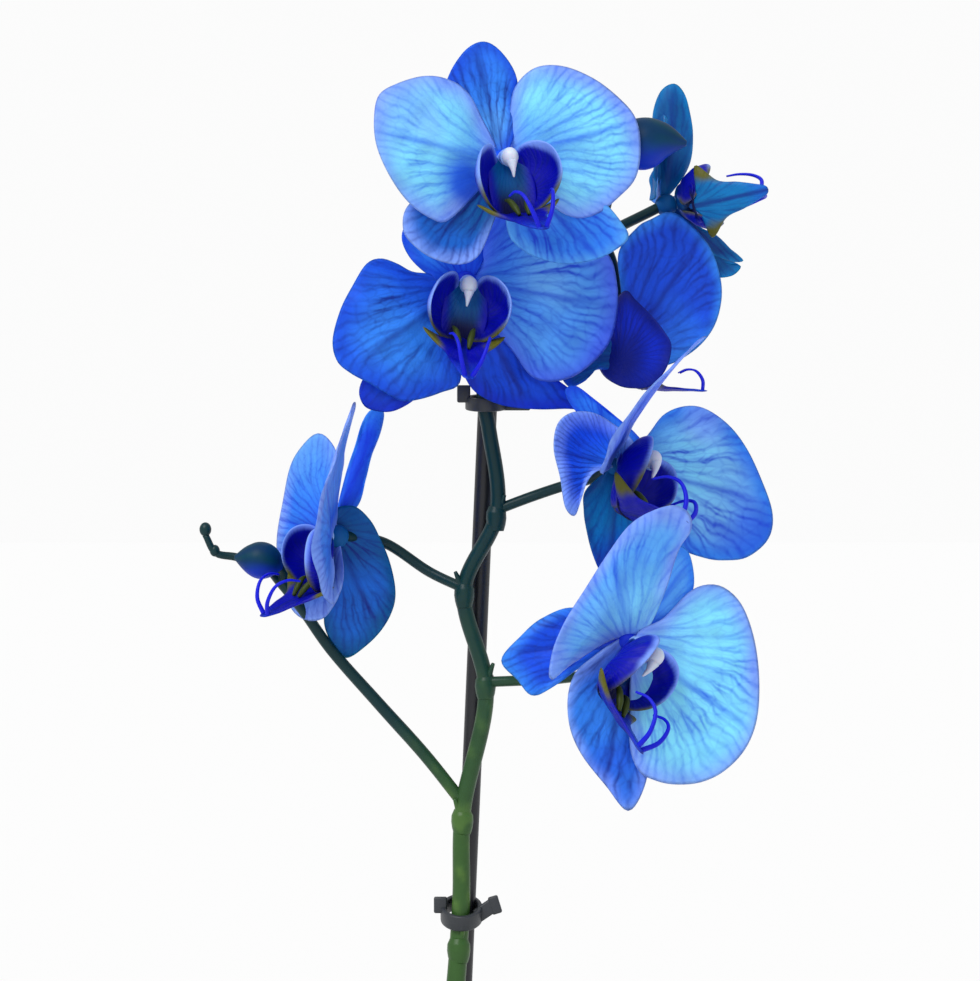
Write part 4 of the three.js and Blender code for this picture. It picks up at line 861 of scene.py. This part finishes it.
def vase_radius(z):
    """The outer radius at height z."""
    rise = min(max(z / VASE["height"], 0), 1) * math.pi / 2
    return VASE["base"] + (VASE["rim"] - VASE["base"]) * math.sin(rise) ** 0.9


def vase():
    """A plain thrown vase with a rounded rim."""
    height, wall, floor, base, rounding = (
        VASE[k] for k in ("height", "wall", "floor", "base", "rounding"))
    outer = [(vase_radius(z), z) for z in np.linspace(0.02, 0.975, 40) * height]
    inner = [(vase_radius(z) - wall, z) for z in np.linspace(0.975, 0.1, 36) * height]
    crest = [(vase_radius(height) - wall / 2 + wall / 2 * math.cos(a),
              height - rounding + rounding * math.sin(a))
             for a in np.linspace(0.1, math.pi - 0.1, 12)]
    foot = [(base - 4, 0), (base - 1.6, 0.2), (base - 0.4, 1.2)]
    profile = [(0, 0), *foot, *outer, *crest, *inner, (base - wall - 3, floor + 3),
               (base - wall - 8, floor), (0, floor)]
    return [turned(profile, 128, "glaze")]


def squared(wave, power):
    """A wave with fuller corners."""
    return np.sign(wave) * np.abs(wave) ** power


def chip(centre, size, turn, tint, seed):
    """A broken chip of bark: a worn block with a rough surface."""
    rise = np.linspace(-math.pi / 2, math.pi / 2, CHIP_RINGS + 2)[1:-1]
    angle = TURN * np.arange(CHIP_SIDES) / CHIP_SIDES
    rows = [np.stack([squared(np.cos(r), 0.45) * squared(np.cos(angle), 0.5),
                      squared(np.cos(r), 0.45) * squared(np.sin(angle), 0.5),
                      np.full(CHIP_SIDES, squared(np.sin(r), 0.6))], 1) for r in rise]
    points = np.vstack(rows + [np.array([[0, 0, -1], [0, 0, 1]])])
    rough = 1 + 0.1 * ripple(points, 1.1, seed) + 0.06 * ripple(points, 0.45, seed + 1)
    points = points * rough[:, None]
    made = part(points * np.array(size) / 2, barrel_faces(CHIP_RINGS, CHIP_SIDES), tint)
    return placed(made, Matrix.Translation(centre) @ Euler(turn).to_matrix().to_4x4())


def bark():
    """A bed of bark chips, spread by the golden angle."""
    random = np.random.default_rng(SEEDS["bark"])
    wall, floor = VASE["wall"], VASE["floor"]
    levels = [(vase_radius(t * FILL_TOP) - wall - BARK_GAP, t * FILL_TOP)
              for t in (0.24, 0.53, 0.83)]
    top = [(vase_radius(FILL_TOP) - wall - BARK_GAP, FILL_TOP - 4), (20, FILL_TOP - 3)]
    parts = [turned([(0, floor + 0.3), (VASE["base"] - wall - 5, floor + 0.3), *levels, *top,
                     (0, FILL_TOP - 3)], 64, "bark_dark")]
    golden = math.pi * (3 - math.sqrt(5))
    reach = vase_radius(FILL_TOP) - wall - 8
    for i in range(CHIPS["count"]):
        radius = reach * math.sqrt((i + 0.5) / CHIPS["count"])
        x, y = radius * math.cos(i * golden), radius * math.sin(i * golden)
        size = random.uniform(CHIPS["smallest"], CHIPS["largest"])
        turn = (*random.uniform(-0.45, 0.45, 2), random.uniform(0, TURN))
        z = FILL_TOP - CHIPS["sunk"] + random.uniform(-1.5, 2.5)
        if math.hypot((x - CROWN["x"]) / CLEARING[0], (y - CROWN["y"]) / CLEARING[1]) < 1:
            continue
        tint = blend(random.random(), "bark_red", "bark_grey")
        parts.append(chip((x, y, z), size, turn, tint * random.uniform(0.6, 1.1), i))
    return parts


# The stake and its clips, each tab with its centre, size and lean
CLIPS = {
    "clip_lower": {
        "centre": (-1.2, 3.4, 312.6), "outer": (7, 9.4), "height": 5.4, "tilt": 22,
        "tabs": [
            ((-8.2, 3, 315.2), (4.4, 4, 5.4), 0),
            ((6.5, 3, 313.2), (7, 3.6, 4.8), -34),
            ((10, 3, 315.2), (3.4, 3.8, 6), -17),
        ],
    },
    "clip_upper": {
        "centre": (6.9, -6, 482.6), "outer": (6.8, 9.2), "height": 4.4, "tilt": 6,
        "tabs": [
            ((-0.4, -8, 485.6), (4.4, 4, 5.8), 0),
            ((16.4, -7, 481), (10.6, 3, 1.8), 0),
        ],
    },
}
CLIP_ROUNDING = 0.5
CLIP_SEGMENTS = 64
TAB_ROUNDING = 0.6


def stake():
    """A straight black rod."""
    ends = np.array([STAKE["bottom"], STAKE["top"]], float)
    return [rod(ends, [STAKE["radius"]] * 2, 32, 200, tint="ink")]


def clip(shape):
    """A ring round the stem and the stake with finger tabs."""
    half, wall = shape["height"] / 2, CLIP_WALL / 2
    middle_x, middle_y = (outer - wall for outer in shape["outer"])
    section = []
    for side, end, start in [(1, 1, 0), (-1, 1, 90), (-1, -1, 180), (1, -1, 270)]:
        for turn in np.radians(start + np.array([0, 30, 60, 90])):
            section.append((side * (wall - CLIP_ROUNDING) + CLIP_ROUNDING * math.cos(turn),
                            end * (half - CLIP_ROUNDING) + CLIP_ROUNDING * math.sin(turn)))
    across, high = np.array(section).T
    points = np.vstack([np.stack([(middle_x + across) * math.cos(a),
                                  (middle_y + across) * math.sin(a), high], 1)
                        for a in TURN * np.arange(CLIP_SEGMENTS) / CLIP_SEGMENTS])
    quads = grid_faces(CLIP_SEGMENTS + 1, len(section), closed=True) % len(points)
    tilt = Matrix.Rotation(math.radians(shape["tilt"]), 4, "X")
    ring = placed(part(points, [quads], "charcoal"),
                  Matrix.Translation(shape["centre"]) @ tilt)
    return [ring] + [clip_tab(*tab) for tab in shape["tabs"]]


def clip_tab(centre, size, lean):
    """A block with round edges."""
    shape = bmesh.new()
    bmesh.ops.create_cube(shape, size=1)
    bmesh.ops.scale(shape, vec=size, verts=shape.verts)
    bmesh.ops.bevel(shape, geom=shape.edges, offset=TAB_ROUNDING, segments=4, profile=0.5,
                    affect="EDGES")
    shape.verts.ensure_lookup_table()
    points = [tuple(vert.co) for vert in shape.verts]
    faces = [np.array([[vert.index for vert in face.verts]]) for face in shape.faces]
    shape.free()
    turn = Euler((0, math.radians(lean), 0)).to_matrix().to_4x4()
    return placed(part(points, faces, "charcoal"), Matrix.Translation(centre) @ turn)


# Materials
def new_material(name):
    """A material, its tree of nodes and its shader."""
    material = bpy.data.materials.new(name)
    material.use_nodes = True
    return material, material.node_tree, material.node_tree.nodes["Principled BSDF"]


def feed(tree, made, sockets):
    """Set a node's sockets to values, or join them to the outputs of other nodes."""
    for socket, value in sockets.items():
        if isinstance(value, bpy.types.NodeSocket):
            tree.links.new(value, made.inputs[socket])
        else:
            made.inputs[socket].default_value = value


def node(tree, kind, sockets, output=0, **settings):
    """A new node, set and fed, of which this output is used."""
    made = tree.nodes.new("ShaderNode" + kind)
    for name, value in settings.items():
        setattr(made, name, value)
    feed(tree, made, sockets)
    return made.outputs[output]


def attribute(tree, name, output="Color"):
    return node(tree, "Attribute", {}, output, attribute_name=name)


def maths(tree, operation, *values):
    return node(tree, "Math", dict(enumerate(values)), operation=operation)


def times(tree, first, second):
    return maths(tree, "MULTIPLY", first, second)


def mixed(tree, factor, first, second):
    return node(tree, "Mix", {0: factor, 6: first, 7: second}, 2, data_type="RGBA")


def step(tree, value, low, high, ends=(0, 1)):
    """A soft step between low and high."""
    sockets = {"Value": value, "From Min": low, "From Max": high, "To Min": ends[0],
               "To Max": ends[1]}
    return node(tree, "MapRange", sockets, "Result", interpolation_type="SMOOTHSTEP")


def noise(tree, scale, detail, vector=None):
    """Smooth noise, on the object's own coordinates if no vector is given."""
    vector = vector or node(tree, "TexCoord", {}, "Object")
    return node(tree, "TexNoise", {"Scale": scale, "Detail": detail, "Vector": vector}, "Fac")


def bumped(tree, height, distance, strength):
    """A normal for the shader from a height."""
    sockets = {"Strength": strength, "Distance": distance, "Height": height}
    return node(tree, "Bump", sockets, "Normal")


def vein_lines(tree, fan, reach):
    """Lines that fan out from a petal's base and fork twice, 1 on a line and 0 between."""
    wander = maths(tree, "MULTIPLY_ADD", noise(tree, 60, 2), 0.9, fan)
    wander = maths(tree, "MULTIPLY_ADD", noise(tree, 300, 2), 0.1, wander)
    first = times(tree, step(tree, reach, 0.2, 0.5), 0.5)
    second = times(tree, step(tree, reach, 0.48, 0.8), 0.25)
    nearest = 1.0
    for shift in (0.0, first, second, maths(tree, "ADD", first, second)):
        away = maths(tree, "PINGPONG", maths(tree, "ADD", wander, shift), 0.5)
        nearest = maths(tree, "MINIMUM", away, nearest)
    return step(tree, times(tree, nearest, reach), 0.0, 0.07, (1, 0))


def stretched(tree, fan, reach, across, along):
    """A vector for patterns that run along the veins."""
    return node(tree, "CombineXYZ", {"X": times(tree, fan, across),
                                     "Y": times(tree, reach, along)})


def net_lines(tree, vector, width):
    """The fine net between the veins, 1 on a line and 0 between."""
    away = node(tree, "TexVoronoi", {"Scale": 1, "Vector": vector}, "Distance",
                voronoi_dimensions="2D", feature="DISTANCE_TO_EDGE")
    return step(tree, away, 0, width, (1, 0))


def petal_material(name, roughness, net=0.22, streaks=0.4):
    """A waxy petal with forking veins, a fine net between them and soft dark streaks."""
    material, tree, shader = new_material(name)
    place = tree.nodes.new("ShaderNodeSeparateXYZ")
    feed(tree, place, {0: attribute(tree, "vein", "Vector")})
    angle, reach, strength = place.outputs
    fan = times(tree, angle, VEINS_PER_RADIAN)
    main = vein_lines(tree, fan, reach)
    wander = maths(tree, "MULTIPLY_ADD", noise(tree, 90, 2), 0.5, fan)
    small = net_lines(tree, stretched(tree, wander, reach, 4, 13), 0.2)
    streak = noise(tree, 1, 3, stretched(tree, fan, reach, 2.2, 2.5))
    faded = times(tree, main, step(tree, noise(tree, 110, 3), 0.2, 0.62))
    faded = times(tree, faded, VEIN_STRENGTH)
    lines = maths(tree, "MULTIPLY_ADD", small, net, faded)
    share = maths(tree, "MULTIPLY_ADD", step(tree, streak, 0.42, 0.75), streaks, lines)
    share = maths(tree, "MINIMUM", times(tree, share, strength), 0.85)
    height = maths(tree, "MULTIPLY_ADD", lines, -0.6, noise(tree, 900, 3))
    feed(tree, shader, {
        "Base Color": mixed(tree, share, attribute(tree, "tint"), attribute(tree, "dye")),
        "Roughness": roughness,
        "Specular IOR Level": 0.2,
        "Subsurface Weight": 0.1,
        "Subsurface Radius": (0.6, 0.8, 1),
        "Subsurface Scale": 0.002,
        "Normal": bumped(tree, height, 0.0002, 0.6),
    })
    return material


def plain_material(name, roughness, grain, depth, contrast=0.25, gloss=0.5, coat=0,
                   subsurface=0):
    """A surface with its own colours, clouded and roughened at the given scale."""
    material, tree, shader = new_material(name)
    cloud = step(tree, noise(tree, grain, 6), 0.35, 0.75)
    share = times(tree, cloud, contrast)
    feed(tree, shader, {
        "Base Color": mixed(tree, share, attribute(tree, "tint"), attribute(tree, "dye")),
        "Roughness": roughness,
        "Specular IOR Level": gloss,
        "Coat Weight": coat,
        "Subsurface Weight": subsurface,
        "Subsurface Scale": 0.002,
        "Normal": bumped(tree, noise(tree, grain * 3, 6), depth, 0.5),
    })
    return material


# The pieces
PETAL = petal_material("petal", 0.55)
LIP_SKIN = petal_material("lip", 0.45, net=0.15, streaks=0.8)
COLUMN_SKIN = plain_material("column", 0.4, 300, 0.0001, subsurface=0.2)
STEM_SKIN = plain_material("stem", 0.36, 220, 0.0002, gloss=0.25)
BUD_SKIN = plain_material("bud", 0.45, 160, 0.0002, gloss=0.15)
LEAF_SKIN = plain_material("leaf", 0.38, 120, 0.0002, gloss=0.35)
CROWN_SKIN = plain_material("crown", 0.6, 150, 0.0005)
BARK_SKIN = plain_material("bark", 0.9, 260, 0.0015, contrast=0.7)
GLAZE = plain_material("glaze", 0.22, 30, 0.0001, coat=0.3)
STAKE_SKIN = plain_material("stake", 0.4, 400, 0.0001)
CLIP_SKIN = plain_material("clip", 0.45, 500, 0.0001)

for i, flower in enumerate(FLOWERS):
    name = flower["name"]
    seed = SEEDS["flower"] * i
    piece(name + "_petals", tepals(flower, seed), PETAL, "tepals", name + "_tepals")
    piece(name + "_throat", lip(flower, seed + SEEDS["lip"]), LIP_SKIN, "lip", name + "_lip")
    piece(name + "_cap", column(flower), COLUMN_SKIN, "column", name + "_column")
piece("flower_stem", stem(), STEM_SKIN, "stem", "stem")
for name, shape in BUDS.items():
    piece(name + "_skin", bud(shape), BUD_SKIN, "bud", name)
piece("foot", crown(), CROWN_SKIN, "crown", "crown")
for i, shape in enumerate(LEAVES):
    piece(f"strap_{i + 1}", leaf(i, *shape), LEAF_SKIN, "leaf", f"leaf_{i + 1}")
piece("bark_chips", bark(), BARK_SKIN, "bark", "bark")
piece("pot", vase(), GLAZE, "glazed_white", "vase")
piece("rod", stake(), STAKE_SKIN, "stake", "stake")
for name, shape in CLIPS.items():
    piece(name + "_ring", clip(shape), CLIP_SKIN, "clip", name)


# The studio, its camera level with the flowers
FLOOR_REACH = 60000
FLOOR_COLOUR = (0.93, 0.93, 0.93, 1)
WHITE = (1, 1, 1, 1)
SURROUND_STRENGTH = 0.66
BACKDROP_STRENGTH = 0.97
SUN_STRENGTH = 1.8
SUN_WIDTH = 35
SUN_FROM = (-0.4, -0.68, 0.75)
SENSOR = 36
CAMERA_AT = (8.33, -2400, 453.5)
VIEW_WIDTH = 327


def floor():
    """A wide pale floor."""
    mesh = bpy.data.meshes.new("floor")
    side = FLOOR_REACH * METRES
    corners = [(x * side, y * side, 0) for x, y in ((-1, -1), (1, -1), (1, 1), (-1, 1))]
    mesh.from_pydata(corners, [], [(0, 1, 2, 3)])
    material, tree, shader = new_material("floor")
    feed(tree, shader, {"Base Color": FLOOR_COLOUR, "Roughness": 1, "Specular IOR Level": 0})
    mesh.materials.append(material)
    made = added("floor", mesh)


def lights():
    """A bright even surround and one soft sun from the upper left."""
    world = bpy.data.worlds.new("studio")
    world.use_nodes = True
    tree = world.node_tree
    surround, seen = tree.nodes["Background"], tree.nodes.new("ShaderNodeBackground")
    feed(tree, surround, {"Strength": SURROUND_STRENGTH, "Color": WHITE})
    feed(tree, seen, {"Strength": BACKDROP_STRENGTH, "Color": WHITE})
    ray = node(tree, "LightPath", {}, "Is Camera Ray")
    mix = node(tree, "MixShader", {0: ray, 1: surround.outputs[0], 2: seen.outputs[0]})
    feed(tree, tree.nodes["World Output"], {"Surface": mix})
    bpy.context.scene.world = world
    sun = bpy.data.lights.new("sun", "SUN")
    sun.energy = SUN_STRENGTH
    sun.angle = math.radians(SUN_WIDTH)
    added("sun", sun).rotation_euler = Vector(SUN_FROM).to_track_quat("Z", "Y").to_euler()
    bpy.context.scene.view_settings.view_transform = "Standard"


def camera():
    """A level camera at the height of the flowers."""
    lens = bpy.data.cameras.new("camera")
    lens.sensor_width = SENSOR
    lens.lens = SENSOR * -CAMERA_AT[1] / VIEW_WIDTH
    made = added("camera", lens)
    made.location = [METRES * value for value in CAMERA_AT]
    made.rotation_euler = (math.pi / 2, 0, 0)
    bpy.context.scene.camera = made


floor()
lights()
camera()
